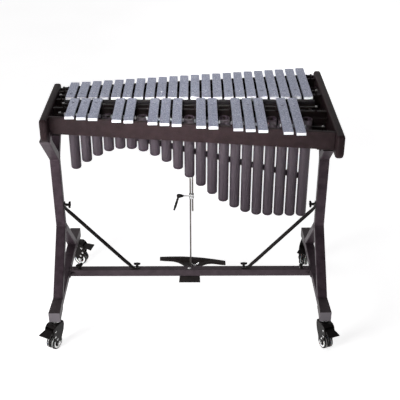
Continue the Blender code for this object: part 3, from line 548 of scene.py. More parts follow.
STAND_WORN = (0.125, 0.104, 0.112)
FINISHES = {
    "bar_silver": bar_finish(),
    "board_plum": coat_finish("board_plum", (0.011, 0.0058, 0.0066), (0.021, 0.0120, 0.0135),
                              (0.052, 0.037, 0.039), (0.42, 0.60), 0.0, 420, 0.00022),
    "stand_black": coat_finish("stand_black", (0.027, 0.0180, 0.0235), (0.054, 0.037, 0.047), STAND_WORN),
    # the feet's end faces get a painted highlight through ends
    "foot_black": coat_finish("foot_black", (0.022, 0.016, 0.018), (0.044, 0.034, 0.038), STAND_WORN,
                              ends=(0.150, 0.136, 0.150)),
    "stay_black": coat_finish("stay_black", (0.006, 0.005, 0.005), (0.015, 0.012, 0.012),
                              (0.050, 0.043, 0.043)),
    # painted shade: a near-black copy of the stand's coat for the parts inside the frame
    "painted_shade_black": coat_finish("painted_shade_black", (0.002, 0.001, 0.001), (0.005, 0.003, 0.003),
                               (0.016, 0.011, 0.011)),
    "resonator_grey": tube_finish(),
    "black_plastic": plastic_finish(),
    "tyre_black": rubber_finish(),
    "bright_steel": steel_finish(),
    "rod_steel": rod_finish(),
    "felt_black": felt_finish(),
    "pedal_black": coat_finish("pedal_black", (0.008, 0.0048, 0.0046), (0.018, 0.0115, 0.0110),
                               (0.090, 0.078, 0.072), (0.34, 0.50), 0.1, 520, 0.00012),
    "suspension_cord": cord_finish(),
    "insulator_grey": soft_grey_finish("insulator_grey", (0.20, 0.21, 0.23), (0.32, 0.33, 0.35)),
    "ring_grey": soft_grey_finish("ring_grey", (0.80, 0.80, 0.80), (0.92, 0.92, 0.91)),
}


def piece(name, bm, finish, body="frame", replaces=(), angle=SHARP_ANGLE):
    """Turns a bmesh into a finished object that rides on a body."""
    bmesh.ops.recalc_face_normals(bm, faces=bm.faces)
    mesh = bpy.data.meshes.new(name)
    bm.to_mesh(mesh)
    bm.free()
    mesh.shade_smooth()
    mesh.set_sharp_from_angle(angle=math.radians(angle))
    mesh.materials.append(FINISHES[finish])
    made = bpy.data.objects.new(name, mesh)
    bpy.context.collection.objects.link(made)
    even = made.modifiers.new("even_shading", "WEIGHTED_NORMAL")
    even.keep_sharp = True
    even.weight = 80
    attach(made, body)
    if replaces:
        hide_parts(*replaces)
    return made


def cut(made, cutter_bm):
    """Cuts shapes out of a piece and keeps the result as its mesh."""
    bmesh.ops.recalc_face_normals(cutter_bm, faces=cutter_bm.faces)
    mesh = bpy.data.meshes.new("cutter")
    cutter_bm.to_mesh(mesh)
    cutter_bm.free()
    cutter = bpy.data.objects.new("cutter", mesh)
    bpy.context.collection.objects.link(cutter)
    plain = bpy.data.objects.new("plain", made.data)
    bpy.context.collection.objects.link(plain)
    difference = plain.modifiers.new("difference", "BOOLEAN")
    difference.operation = "DIFFERENCE"
    difference.solver = "EXACT"
    difference.object = cutter
    bpy.context.view_layer.update()
    solid = plain.evaluated_get(bpy.context.evaluated_depsgraph_get())
    made.data = bpy.data.meshes.new_from_object(solid)
    made.data.set_sharp_from_angle(angle=math.radians(SHARP_ANGLE))
    bpy.data.objects.remove(plain)
    bpy.data.objects.remove(cutter)


# ---- bars and their suspension --------------------------------------------------------------
NODE_SHARE = 0.23
BAR_EDGE = 0.0011
ARCH_DEPTH = 0.0036
PIN_RADIUS = 0.0080
PIN_SINK = 0.0030
HOLE_RADIUS = 0.0023
CORD_RADIUS = 0.0014
LOOP_RADIUS = 0.0042
ANCHOR_INSET = 0.004
ANCHOR_HEIGHT = 0.0180


def node_y(row, index, side):
    """Y of a bar's nodal point on its near or far side."""
    _, _, near, far = BARS[row][index]
    return near + (far - near) * NODE_SHARE if side == "near" else far - (far - near) * NODE_SHARE


def cord_y(row, side, x):
    """Y of a suspension cord, a straight line through the nodal points of the outer bars."""
    first, last = BARS[row][0], BARS[row][-1]
    x0, x1 = (first[0] + first[1]) / 2, (last[0] + last[1]) / 2
    share = (x - x0) / (x1 - x0)
    return node_y(row, 0, side) * (1 - share) + node_y(row, -1, side) * share


def bar_outline(near, far, low, high):
    """Side view of a bar with the tuning arch cut from the middle of its underside."""
    steps = 14
    arch = []
    for step in range(steps + 1):
        share = 0.28 + 0.44 * step / steps
        rise = ARCH_DEPTH * math.sin(math.pi * step / steps) ** 1.5
        arch.append((near + (far - near) * share, low + rise))
    return [(near, low), *arch, (far, low), (far, high), (near, high)]


def dimple(x, y, top):
    """A cutter for the shallow round hollow over a bar's nodal point."""
    ball_radius = (PIN_RADIUS ** 2 + PIN_SINK ** 2) / (2 * PIN_SINK)
    turns = [math.radians(180 - 10 * k) for k in range(4)]
    ball = [(ball_radius * (1 + math.cos(t)), ball_radius * math.sin(t)) for t in turns]
    return turned((x, y, top - PIN_SINK), UP, [*ball, (2 * ball_radius, ball[-1][1])], 20)


def make_bars():
    for row, pin_side in (("natural", "near"), ("accidental", "far")):
        low, high = box(f"{row}_bars")
        blanks = [
            soften(slab(bar_outline(near, far, low.z, high.z), "x", left, right), BAR_EDGE, 3)
            for left, right, near, far in BARS[row]
        ]
        bars = piece(f"{row}_bar_row", joined(blanks), "bar_silver", replaces=[f"{row}_bars"])
        cutters = [dimple((left + right) / 2, node_y(row, index, pin_side), high.z)
                   for index, (left, right, _, _) in enumerate(BARS[row])]
        for side in ("near", "far"):
            ends = [(x, cord_y(row, side, x), CORD_Z) for x in (low.x - 0.01, high.x + 0.01)]
            cutters.append(sweep(ends, HOLE_RADIUS, 14))
        cut(bars, joined(cutters))


def make_cords():
    """The four suspension cords, each tied off round a screw at both ends of its rail."""
    for row in ROWS:
        low, high = box(f"{row}_bars")
        for side in ("near", "far"):
            ends = (low.x + ANCHOR_INSET, high.x - ANCHOR_INSET)
            shapes = [sweep([(x, cord_y(row, side, x), CORD_Z) for x in ends], CORD_RADIUS, 10)]
            for x in ends:
                centre = Vector((x, cord_y(row, side, x), CORD_Z - 0.0012))
                turns = [2 * math.pi * k / 24 for k in range(25)]
                loop = [centre + Vector((LOOP_RADIUS * math.cos(t), LOOP_RADIUS * math.sin(t),
                                         0.0004 * math.sin(t / 2))) for t in turns]
                shapes.append(sweep(loop, 0.0013, 8))
            piece(f"{row}_{side}_cord", joined(shapes), "suspension_cord")


def make_bar_rails():
    for row in ROWS:
        for side in ("near", "far"):
            node = f"{row}_{side}_bar_rail"
            piece(f"{row}_{side}_rail_bar", rail_shape(node, 0.0012, 3), "painted_shade_black", replaces=[node])
            top = end_faces(node)[0][1].z
            post_top = box(node)[1].z
            stems, sleeves = [], []
            for low, high in groups(node_points(node, lambda p: p.z > post_top - TINY), 0.010):
                x, y = (low.x + high.x) / 2, (low.y + high.y) / 2
                stems.append(turned((x, y, top), UP, ((0, 0.0042), (0.0022, 0.0042), (0.0026, 0.0036)), 6))
                stems.append(turned((x, y, top + 0.002), UP, ((0, 0.0017), (0.0060, 0.0017)), 14))
                sleeve = ((0, 0.0026), (0.0010, 0.0034), (0.0070, 0.0034), (0.0078, 0.0030), (0.0078, 0))
                sleeves.append(turned((x, y, post_top - 0.0078), UP, ((0, 0), *sleeve), 18))
                for reach in (-1, 1):
                    inner, outer = sorted((y + reach * 0.0016, y + reach * 0.0034))
                    sleeves.append(block((x - 0.0022, inner, post_top - 0.001),
                                         (x + 0.0022, outer, post_top + 0.0042), 0.0007, 2))
            sleeve_finish = "insulator_grey" if node == "accidental_near_bar_rail" else "black_plastic"
            piece(f"{row}_{side}_post_stems", joined(stems), "painted_shade_black")
            piece(f"{row}_{side}_cord_insulators", joined(sleeves), sleeve_finish)


def make_cord_anchors():
    """Black posts, darkened further with painted shade, with silver screws at the ends of the rails that the
    cords are tied to.
    """
    post = ((0, 0.0052), (0.0020, 0.0052), (0.0026, 0.0046), (0.0026, 0.0024), (ANCHOR_HEIGHT, 0.0024))
    head = ((0, 0.0040), (0.0012, 0.0044), (0.0022, 0.0036), (0.0028, 0.0020), (0.0020, 0.0014), (0.0020, 0))
    posts, heads = [], []
    for row in ROWS:
        low, high = box(f"{row}_bars")
        for side in ("near", "far"):
            rail_top = end_faces(f"{row}_{side}_bar_rail")[0][1].z
            for x in (low.x + ANCHOR_INSET, high.x - ANCHOR_INSET):
                at = Vector((x, cord_y(row, side, x), rail_top))
                posts.append(turned(at, UP, post, 20))
                heads.append(turned(at + UP * ANCHOR_HEIGHT, UP, head, 20))
    piece("cord_anchor_posts", joined(posts), "painted_shade_black")
    piece("cord_anchor_screws", joined(heads), "bright_steel")


# ---- playing frame --------------------------------------------------------------------------
def plank_outline(near, far, low, high, top_round, bottom_round):
    """Side view of an end board: small round tops and large round bottoms."""
    corners = ((near, high, top_round, 90), (near, low, bottom_round, 180),
               (far, low, bottom_round, 270), (far, high, top_round, 0))
    points = []
    for y, z, radius, first in corners:
        centre_y = y + (radius if y == near else -radius)
        centre_z = z + (radius if z == low else -radius)
        for step in range(10):
            angle = math.radians(first + 10 * step)
            points.append((centre_y + radius * math.cos(angle), centre_z + radius * math.sin(angle)))
    return points


BOARD_TOP_ROUND = 0.012
BOARD_BOTTOM_ROUND = 0.030
BOARD_EDGE = 0.0095


def make_end_boards():
    for side in ("left", "right"):
        low, high = box(f"{side}_end_board")
        outline = plank_outline(low.y, high.y, low.z, high.z, BOARD_TOP_ROUND, BOARD_BOTTOM_ROUND)
        board = soften(slab(outline, "x", low.x, high.x), BOARD_EDGE, 6)
        piece(f"{side}_end_plank", board, "board_plum", replaces=[f"{side}_end_board"])
        outer, out, face = (low.x, -ALONG, 0) if side == "left" else (high.x, ALONG, 1)
        screws = []
        for rail in ("front_rail", "rear_rail"):
            near, far = end_faces(rail)[face]
            y = (near.y + far.y) / 2
            for z in (near.z + 0.018, far.z - 0.016):
                screws.append(button_screw((outer, y, z), out, 0.0048))
        for rail in ("natural_near", "natural_far", "accidental_near", "accidental_far"):
            near, far = end_faces(f"{rail}_bar_rail")[face]
            screws.append(button_screw((outer, (near.y + far.y) / 2, (near.z + far.z) / 2), out, 0.0042))
        piece(f"{side}_end_plank_screws", joined(screws), "stand_black")


def make_ledges():
    """Bevelled shelves under both ends of the playing frame, screwed to the end boards."""
    for side, into in ENDS:
        node = f"{side}_resonator_ledge"
        low, high = box(node)
        piece(f"{side}_resonator_shelf", cad_copy(node, 0.0008, 3), "painted_shade_black", replaces=[node])
        x = (low.x if into > 0 else high.x) + into * 0.012
        margin, count = 0.015, 5
        ys = [low.y + margin + (high.y - low.y - 2 * margin) * k / (count - 1) for k in range(count)]
        screws = [button_screw((x, y, low.z), -UP, 0.0034) for y in ys]
        piece(f"{side}_resonator_shelf_screws", joined(screws), "painted_shade_black")


def make_long_rails():
    for rail in ("front_rail", "rear_rail"):
        piece(f"{rail}_board", rail_shape(rail, 0.0022, 4), "board_plum", replaces=[rail])
    plate = 0.003
    brackets, screws = [], []
    for rail, inward in (("front_rail", 1), ("rear_rail", -1)):
        for (low, high), into in zip(end_faces(rail), (1, -1)):
            x, y = low.x, high.y if inward > 0 else low.y
            y0, y1 = sorted((y + inward * 0.0006, y + inward * 0.022))
            z0, z1 = low.z + 0.012, high.z - 0.018
            x0, x1 = sorted((x + into * 0.0002, x + into * plate))
            brackets.append(block((x0, y0, z0), (x1, y1, z1), 0.0005, 2))
            for z in (z0 + 0.010, z1 - 0.010):
                screws.append(button_screw((x + into * plate, y + inward * 0.013, z), (into, 0, 0), 0.0034))
    piece("rail_corner_brackets", joined(brackets), "painted_shade_black")
    piece("rail_corner_screws", joined(screws), "painted_shade_black")


# ---- resonators -----------------------------------------------------------------------------
def tube_shape(x, y, foot, top, radius):
    """A drawn tube with a rolled mouth, a pressed-in round cap and the seam where they meet."""
    wall, cap = 0.0014, 0.0145
    length = top - foot
    turns = [math.radians(a) for a in (0, 6, 14, 24, 36, 50, 66, 80, 90)]
    dome = [(cap * 0.62 * (1 - math.cos(t)), (radius - 0.0002) * math.sin(t) ** 0.62) for t in turns]
    seam = ((cap - 0.0009, radius - 0.0002), (cap - 0.0005, radius - 0.0009), (cap - 0.0001, radius - 0.0009),
            (cap + 0.0004, radius))
    mouth = ((length - 0.0008, radius), (length, radius - wall * 0.4), (length, radius - wall * 0.8),
             (length - 0.0008, radius - wall))
    inside = ((cap, radius - wall), (cap - 0.001, radius - wall - 0.002), (cap - 0.001, 0))
    return turned((x, y, foot), UP, (*dome, *seam, *mouth, *inside), 40)


def make_resonators():
    strap = "accidental_resonator_strap"
    midpoints = [(a + b) / 2 for a, b in zip(NATURAL_XS, NATURAL_XS[1:])]
    for row, xs in (("accidental", midpoints), ("natural", NATURAL_XS)):
        node = f"{row}_resonator_bank"
        top = box(node)[1].z
        tubes, rivets = [], []
        for x in xs:
            own = node_points(node, lambda p: abs(p.x - x) < PITCH * 0.46)
            low, high = extent([p for p in own if p.z > top - TINY])
            radius = (high.x - low.x) / 2
            y = (low.y + high.y) / 2
            tubes.append(tube_shape(x, y, extent(own)[0].z, top, radius))
            rivets.append(rail_rivet(node, x))
            if row == "accidental" and x > box(strap)[0].x:
                rivets.append(rail_rivet(strap, x))
        piece(f"{row}_resonator_tubes", joined(tubes), "resonator_grey", replaces=[node])
        piece(f"{row}_resonator_hanger", rail_shape(node, 0.0006, 2), "painted_shade_black")
        piece(f"{row}_resonator_rivets", joined(rivets), "painted_shade_black")
    piece("resonator_low_strap", cad_copy(strap, 0.0006, 2), "stand_black", replaces=[strap])


# ---- damper ---------------------------------------------------------------------------------
def make_damper():
    piece("damper_channel", cad_copy("damper_bar", 0.0006, 2), "painted_shade_black", "damper", ["damper_bar"])
    low, high = box("damper_felt")
    centre = (low + high) / 2
    half_z = (high.z - low.z) / 2 - 0.0001
    count = 160
    rings = []
    for i in range(count + 1):
        x = low.x + (high.x - low.x) * i / count
        swell = 0.0003 * math.sin(i * 1.7) + 0.0002 * math.sin(i * 4.1 + 1)
        half_y = (high.y - low.y) / 2 - 0.0005 + swell
        rings.append([(x, centre.y + half_y * a, centre.z + half_z * b) for a, b in rounded_ring(16, 0.35)])
    piece("damper_felt_strip", loft(rings), "felt_black", "damper", ["damper_felt"])
    screws = []
    for side, into in ENDS:
        guide = f"{side}_damper_guide"
        piece(f"{side}_damper_bracket", cad_copy(guide, 0.0008, 2), "painted_shade_black", replaces=[guide])
        low, high = box(guide)
        wall = low.x + 0.004 if into > 0 else high.x - 0.004
        for y in (low.y + 0.006, high.y - 0.006):
            screws.append(button_screw((wall, y, high.z - 0.010), (into, 0, 0), 0.0032))
        make_spring(side)
    piece("damper_bracket_screws", joined(screws), "painted_shade_black")


def make_spring(side):
    """A coil spring wound to fill the damper spring's place."""
    node = f"{side}_damper_spring"
    low, high = box(node)
    wire = 0.0011
    turns, steps = 6, 20
    radius = (high.x - low.x) / 2 - wire
    x, y = (low.x + high.x) / 2, (low.y + high.y) / 2
    points = []
    for step in range(turns * steps + 1):
        share = step / (turns * steps)
        rise = min(max((share - 0.12) / 0.76, 0.0), 1.0) * 0.92 + share * 0.08
        angle = 2 * math.pi * step / steps
        points.append((x + radius * math.cos(angle), y + radius * math.sin(angle),
                       low.z + wire + (high.z - low.z - 2 * wire) * rise))
    spring = piece(f"{side}_coil_spring", sweep(points, wire, 10), "rod_steel", replaces=[node])
    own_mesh(spring)


ROD_RADIUS = 0.0035


def rod_axis(node):
    """Top and bottom centre of a leaning rod, read from its end faces."""
    low, high = box(node)
    points = node_points(node, lambda p: True)
    top = extent([p for p in points if p.z > high.z - 0.004])
    bottom = extent([p for p in points if p.z < low.z + 0.004])
    return (top[0] + top[1]) / 2, (bottom[0] + bottom[1]) / 2


def make_pull_rods():
    for node in ("upper_damper_rod", "lower_damper_rod"):
        top, bottom = rod_axis(node)
        shapes = [chamfered(top, bottom - top, (bottom - top).length, ROD_RADIUS, 0.0008, 0.0007, 24)]
        if node.startswith("upper"):
            roof = box("damper_bar")[0].z
            share = (top.z - roof) / (top.z - bottom.z)
            at = top.lerp(bottom, share)
            shapes.append(turned(at, -UP, ((0, 0.0085), (0.001, 0.0088), (0.001, 0.0065), (0.0065, 0.0065),
                                           (0.007, 0.0058)), 6))
        else:
            bend = top.lerp(bottom, (top.z - bottom.z - 0.046) / (top.z - bottom.z))
            steps = ((0, 0, 0), (0.008, -0.003, -0.006), (0.0165, -0.005, -0.010), (0.026, -0.005, -0.004),
                     (0.036, -0.005, 0.004))
            hook = smooth_route([bend + Vector(step) for step in steps])
            collar = chamfered(bend + Vector((0.012, -0.005, -0.013)), (1, 0, 0.3), 0.0080, 0.0048, 0.0008,
                               0.0010, 20)
            piece("pedal_rod_hook", joined([sweep(hook, 0.0022, 12), collar]), "bright_steel", "damper")
            shapes.append(chamfered(bottom + UP * 0.014, bottom - top, 0.0076, 0.0054, 0.0006, 0.0006, 6))
        name = "damper_pull_rod" if node.startswith("upper") else "pedal_pull_rod"
        piece(name, joined(shapes), "rod_steel", "damper", [node])


def make_rod_clamp():
    """Two halves round the crossed rods, drawn together by four screws."""
    low, high = box("rod_clamp")
    centre = (low + high) / 2
    upper = block((low.x, low.y, centre.z + 0.0008), high, 0.0020, 3)
    lower = block(low, (high.x, high.y, centre.z - 0.0008), 0.0020, 3)
    inset = 0.004
    waist = turned((centre.x, centre.y, low.z + inset), UP,
                   ((0, 0.0065), (high.z - low.z - 2 * inset, 0.0065)), 28)
    screws = [hex_bolt((x, low.y, z), -AWAY, 0.0032, 0.0022) for x in (low.x + 0.005, high.x - 0.005)
              for z in (low.z + 0.005, high.z - 0.005)]
    piece("rod_cross_clamp", joined([upper, lower, waist, *screws]), "bright_steel", "damper", ["rod_clamp"])


def make_clamp_lever():
    """A black cranked handle on a steel stud."""
    hub = Vector(JOINTS["clamp_lever_turn"]["pos_m"])
    lever_low, lever_high = box("clamp_lever")
    barrel = (
        (0, 0.0035), (0.0006, 0.0062), (0.003, 0.0084), (0.007, 0.0092), (0.012, 0.0090), (0.017, 0.0078),
        (0.022, 0.0062), (0.026, 0.0054), (0.0275, 0.0050), (0.0275, 0.0030),
    )
    start = hub + Vector((-0.010, 0, 0))
    tip = Vector((lever_low.x + 0.004, hub.y, lever_low.z + 0.003))
    bend = hub + Vector((-0.0055, 0, -0.012))
    handle = sweep(smooth_route([hub, bend, tip]),
                   lambda s: 0.0050 + 0.0022 * s - 0.0026 * max(s - 0.86, 0) / 0.14, 18, 0.8)
    cap = turned(tip, tip - bend, ((0, 0.0046), (0.0020, 0.0040), (0.0030, 0.0022), (0.0034, 0)), 18)
    piece("clamp_lever_handle", joined([turned(start, ALONG, barrel, 32), handle, cap]), "black_plastic",
          "clamp_lever", ["clamp_lever"])
    face = 0.0270
    stud = turned(start + ALONG * face, ALONG, ((0, 0.0038), (lever_high.x - start.x - face, 0.0038)), 20)
    collar = turned(start + ALONG * (face + 0.0002), ALONG,
                    ((0, 0.0062), (0.0026, 0.0062), (0.0030, 0.0056)), 24)
    screw = turned(start, -ALONG, ((0, 0.0030), (0.0008, 0.0028), (0.0010, 0.0012), (0.0002, 0)), 16)
    piece("clamp_lever_stud", joined([stud, collar, screw]), "bright_steel", "clamp_lever")


# ---- pedal ----------------------------------------------------------------------------------
def make_pedal():
    piece("pedal_plate", cad_copy("pedal", 0.0028, 4, 40), "pedal_black", "pedal", ["pedal"])
    low, high = box("pedal")
    pin = Vector(JOINTS["pedal_hinge"]["pos_m"])
    top = pin.z - 0.005
    ribs = []
    for k in range(5):
        y = high.y - 0.018 - 0.0075 * k
        left = pin.x - (pin.x - low.x) * (0.80 - 0.13 * k)
        right = pin.x + (high.x - pin.x) * (0.66 - 0.12 * k)
        route = [(left, y + 0.004, top), (pin.x, y - 0.001, top), (right, y - 0.010, top)]
        ribs.append(sweep(smooth_route(route, 14), 0.0014, 10))
    piece("pedal_grip_ribs", joined(ribs), "pedal_black", "pedal")
    lug = Vector((box("lower_damper_rod")[0].x + 0.003, rod_axis("lower_damper_rod")[1].y, top))
    boss = lug + Vector((-0.0205, -0.004, -0.001))
    dome = ((0, 0.0140), (0.0020, 0.0138), (0.0040, 0.0122), (0.0260, 0.0118), (0.0330, 0.0100),
            (0.0375, 0.0062), (0.0388, 0))
    piece("pedal_heel_boss", turned(boss, UP, dome, 32), "black_plastic", "pedal")
    washer = ((0, 0.0085), (0.0010, 0.0085), (0.0016, 0.0076), (0.0016, 0.0042))
    piece("pedal_rod_washer", turned(lug - UP * 0.0004, UP, washer, 24), "bright_steel", "pedal")


def make_pedal_mount():
    """The bracket under the crossbar, its bolts and the hinge pin."""
    pin_x = JOINTS["pedal_hinge"]["pos_m"][0]
    piece("pedal_mount_bracket", cad_copy("pedal_bracket", 0.0012, 3), "stay_black",
          replaces=["pedal_bracket"])
    low, high = box("pedal_bracket")
    bar_low, bar_high = box("crossbar")
    bolts = [hex_bolt((x, bar_low.y + 0.012, low.z), -UP, 0.0055, 0.0038)
             for x in (low.x + 0.012, high.x - 0.012)]
    bolts.append(button_screw((pin_x - 0.001, bar_low.y + 0.013, bar_high.z), UP, 0.0050))
    piece("pedal_bracket_bolts", joined(bolts), "bright_steel")

    low, high = box("pedal_hinge_pin")
    start = (low.x, (low.y + high.y) / 2, (low.z + high.z) / 2)
    shaft = chamfered(start, ALONG, high.x - low.x, (high.z - low.z) / 2, 0.0006, 0.0006, 28)
    piece("pedal_pivot_pin", shaft, "bright_steel", replaces=["pedal_hinge_pin"])


# ---- stand ----------------------------------------------------------------------------------
def frame_seams(node):
    """Ends of the weld lines on a side frame: its forks, the runner's joints and the column's sides."""
    low, high = box(node)
    bar_low, bar_high = box("crossbar")
    y, half = (bar_low.y + bar_high.y) / 2, (bar_high.y - bar_low.y) / 2
    runner_top = bar_high.z
    shape = node_points(node, lambda p: p.x < low.x + TINY)
    column = [p.z for p in shape if abs(abs(p.y - y) - half) < TINY]
    inside = sorted({round(p.z, 4) for p in shape if abs(p.y - y) < half + TINY})
    fork, yoke = (z for z in inside if any(abs(side_z - z) < TINY for side_z in column))
    window_top = max(p.z for p in shape if abs(p.y - y) < TINY and p.z < fork)
    seams = []
    for x in (low.x, high.x):
        for reach in (-1, 1):
            seams.append([(x, y, window_top + 0.002), (x, y + reach * half * 0.78, fork - 0.003)])
            seams.append([(x, y, yoke + 0.030), (x, y + reach * half * 0.78, yoke + 0.002)])
            seams.append([(x, y + reach * 0.199, runner_top), (x, y + reach * 0.230, runner_top)])
    for reach in (-1, 1):
        for z in (fork, yoke):
            seams.append([(x, y + reach * half, z) for x in (low.x + 0.004, high.x - 0.004)])
    return seams


def make_side_frames():
    for side, into in ENDS:
        node = f"{side}_side_frame"
        piece(f"{side}_welded_frame", cad_copy(node, 0.0042, 4), "stand_black", replaces=[node])
        welds = [weld(seam, 0.0013) for seam in frame_seams(node)]
        piece(f"{side}_frame_welds", joined(welds), "stand_black")

        board_low, board_high = box(f"{side}_end_board")
        inner = board_high.x if into > 0 else board_low.x
        face = inner + into * 0.0033
        top = box(node)[1].z
        plates, bolts = [], []
        for near, far in groups_along_y(node, top):
            x0, x1 = sorted((inner + into * 0.0003, face))
            plates.append(block((x0, near + 0.004, top - 0.014), (x1, far - 0.004, top + 0.034), 0.0008, 2))
            for y in (near + 0.012, far - 0.012):
                bolts.append(hex_bolt((face, y, top + 0.022), (into, 0, 0), 0.0050, 0.0036))
        piece(f"{side}_arm_plates", joined(plates), "stand_black")
        piece(f"{side}_arm_bolts", joined(bolts), "stand_black")


def groups_along_y(node, z):
    """Y ranges of the flat tops that a node has at a height."""
    tops = sorted({round(p.y, 4) for p in node_points(node, lambda p: p.z > z - TINY)})
    return list(zip(tops[::2], tops[1::2]))


def make_feet():
    """Foot blocks with a bead of weld where the runner enters them."""
    for name in CASTERS:
        node = f"{name}_foot_block"
        piece(f"{name}_foot_casting", cad_copy(node, 0.0030, 4), "foot_black", replaces=[node])
        low, high = box(node)
        stem = Vector(JOINTS[f"{name}_swivel"]["pos_m"])
        seam_y = high.y if "near" in name else low.y
        runner_top = box("crossbar")[1].z
        seam = weld([(stem.x - 0.012, seam_y, runner_top), (stem.x + 0.012, seam_y, runner_top)], 0.0014)
        piece(f"{name}_foot_weld", seam, "stand_black")


def make_crossbar():
    low, high = box("crossbar")
    piece("crossbar_tube", cad_copy("crossbar", 0.0022, 3), "stand_black", replaces=["crossbar"])
    ear, plate, gap = 0.016, 0.0036, 0.0002
    plates, bolts = [], []
    centre = (low + high) / 2
    for x, into in ((low.x, 1), (high.x, -1)):
        face = x + into * plate
        x0, x1 = sorted((x, face))
        for y0, y1 in ((low.y - ear, low.y - gap), (high.y + gap, high.y + ear)):
            plates.append(block((x0, y0, low.z + 0.002), (x1, y1, high.z - 0.002), 0.0008, 2))
        for y in (low.y - ear / 2, high.y + ear / 2):
            bolts.append(hex_bolt((face, y, centre.z), (into, 0, 0), 0.0050, 0.0036))
        bolts.append(hex_bolt((x + into * 0.016, low.y, centre.z), -AWAY, 0.0052, 0.0036))
        bolts.append(hex_bolt((x + into * 0.016, centre.y - 0.006, high.z), UP, 0.0052, 0.0036))
        plates.append(weld([(face, low.y + 0.002, high.z), (face, high.y - 0.002, high.z)], 0.0014))
    piece("crossbar_end_plates", joined(plates), "stand_black")
    piece("crossbar_bolts", joined(bolts), "stand_black")


STAY_RADIUS = 0.0078


def make_braces():
    """Round stays with flattened ends, one from each column to the crossbar."""
    for side, into in ENDS:
        node = f"{side}_brace"
        low, high = box(node)
        y = (low.y + high.y) / 2
        wall, far = (low.x, high.x) if into > 0 else (high.x, low.x)
        tab_x, tab_z = wall + into * 0.002, low.z + 0.002
        column_z = high.z - 0.011
        route = [
            (tab_x, high.z - 0.0005), (tab_x, column_z - 0.004), (tab_x, column_z - 0.012),
            (tab_x + into * 0.005, column_z - 0.021), (tab_x + into * 0.014, column_z - 0.032),
            (tab_x + into * 0.030, column_z - 0.049), (far - into * 0.062, tab_z + 0.036),
            (far - into * 0.044, tab_z + 0.018), (far - into * 0.034, tab_z + 0.006),
            (far - into * 0.025, tab_z + 0.0006), (far - into * 0.012, tab_z), (far, tab_z),
        ]
        flatness = (1.0, 1.0, 0.95, 0.55, 0.15, 0.0, 0.0, 0.15, 0.55, 0.95, 1.0, 1.0)
        rings = []
        for i, ((x, z), flat) in enumerate(zip(route, flatness)):
            before, after = route[max(i - 1, 0)], route[min(i + 1, len(route) - 1)]
            tangent = Vector((after[0] - before[0], 0, after[1] - before[1])).normalized()
            normal = Vector((-tangent.z, 0, tangent.x))
            wide, thick = STAY_RADIUS + 0.0026 * flat, STAY_RADIUS - 0.0059 * flat
            rings.append([Vector((x, y, z)) + AWAY * (wide * a) + normal * (thick * b)
                          for a, b in rounded_ring(28, 1 - 0.55 * flat)])
        piece(f"{side}_diagonal_stay", loft(rings), "stay_black", replaces=[node], angle=50)


def wing_knob(length, wing_half, wing_high, thick, neck):
    """A T-shaped wing knob that stands on the origin along +Z with its wings along X."""
    hub = turned((0, 0, 0), UP, ((0, neck * 0.8), (0.0008, neck), (0.0035, neck), (0.0045, neck * 0.86),
                                 (length - wing_high, neck * 0.80), (length - wing_high * 0.5, neck * 0.86),
                                 (length - 0.001, neck * 0.72), (length, neck * 0.45)), 26)
    rings = []
    for step in range(17):
        share = step / 16 * 2 - 1
        x = wing_half * share
        taper = 1 - 0.30 * abs(share) - 0.55 * max(abs(share) - 0.88, 0) / 0.12
        z = length - wing_high / 2 - 0.0006 + 0.0016 * share ** 2
        rings.append([(x, thick * taper * a, z + wing_high / 2 * taper * b)
                      for a, b in rounded_ring(16, 0.7, 0)])
    return joined([hub, loft(rings)])


# half width and height of the wings, their thickness and the neck's radius
SLIM_KNOB = (0.0152, 0.0120, 0.0056, 0.0070)
CHUNKY_KNOB = (0.0165, 0.0170, 0.0095, 0.0085)


def make_knobs():
    lean = math.sqrt(0.5)
    wings = {"column": (0, lean, lean), "brace": (1, 0, 0), "crossbar": (lean, lean, 0)}
    washer_profile = ((-0.0001, 0.0080), (0.0006, 0.0080), (0.0008, 0.0074), (0.0008, 0.0050))
    tip_profile = ((0, 0.0026), (0.0007, 0.0026), (0.0011, 0.0020), (0.0011, 0))
    for side, _ in ENDS:
        for place, wing in wings.items():
            node = f"{side}_{place}_knob"
            joint = JOINTS[f"{node}_turn"]
            axis = Vector(joint["axis"])
            low, high = box(node)
            length = max((high - low)[i] * abs(axis[i]) for i in range(3))
            knob = wing_knob(length, *(CHUNKY_KNOB if node == "left_crossbar_knob" else SLIM_KNOB))
            piece(f"{node}_grip", placed(knob, joint["pos_m"], axis, wing), "black_plastic", node, [node])
            washer = turned((0, 0, 0), UP, washer_profile, 26)
            tip = turned((0, 0, length - 0.0008), UP, tip_profile, 16)
            steel = placed(joined([washer, tip]), joint["pos_m"], axis, wing)
            piece(f"{node}_screw", steel, "bright_steel", node)


# ---- casters --------------------------------------------------------------------------------
# the fork's outline from the side, as (along, height)
HOOD = (
    (-0.0190, 0.1165), (-0.0212, 0.100), (-0.0150, 0.074), (-0.0020, 0.050), (0.0080, 0.030),
    (0.0130, 0.0215), (0.0200, 0.0182), (0.0280, 0.0185), (0.0355, 0.029), (0.0420, 0.048),
    (0.0465, 0.066), (0.0497, 0.084), (0.0485, 0.098), (0.0430, 0.109), (0.0320, 0.1172),
)
HOOD_TOP = 0.118
HOOD_HALF = 0.0235
CHEEK_HALF = 0.0203


class CasterFrame:
    """Places points of a caster by distance along its trail, sideways, and height."""

    def __init__(self, name):
        self.name = name
        self.stem = Vector(JOINTS[f"{name}_swivel"]["pos_m"])
        self.axle = Vector(JOINTS[f"{name}_wheel_spin"]["pos_m"])
        trail = Vector((self.axle.x - self.stem.x, self.axle.y - self.stem.y, 0))
        self.trail = trail.length
        self.out = trail.normalized()
        self.side = Vector((-self.out.y, self.out.x, 0))

    def at(self, u, v, z):
        return Vector((self.stem.x, self.stem.y, 0)) + self.out * u + self.side * v + UP * z

    def prism(self, outline, low, high):
        """An outline of (along, height) points extruded sideways."""
        return loft([[self.at(u, v, z) for u, z in outline] for v in (low, high)])


BRAKE_PIVOT = 0.036
BRAKE_HEIGHT = 0.094
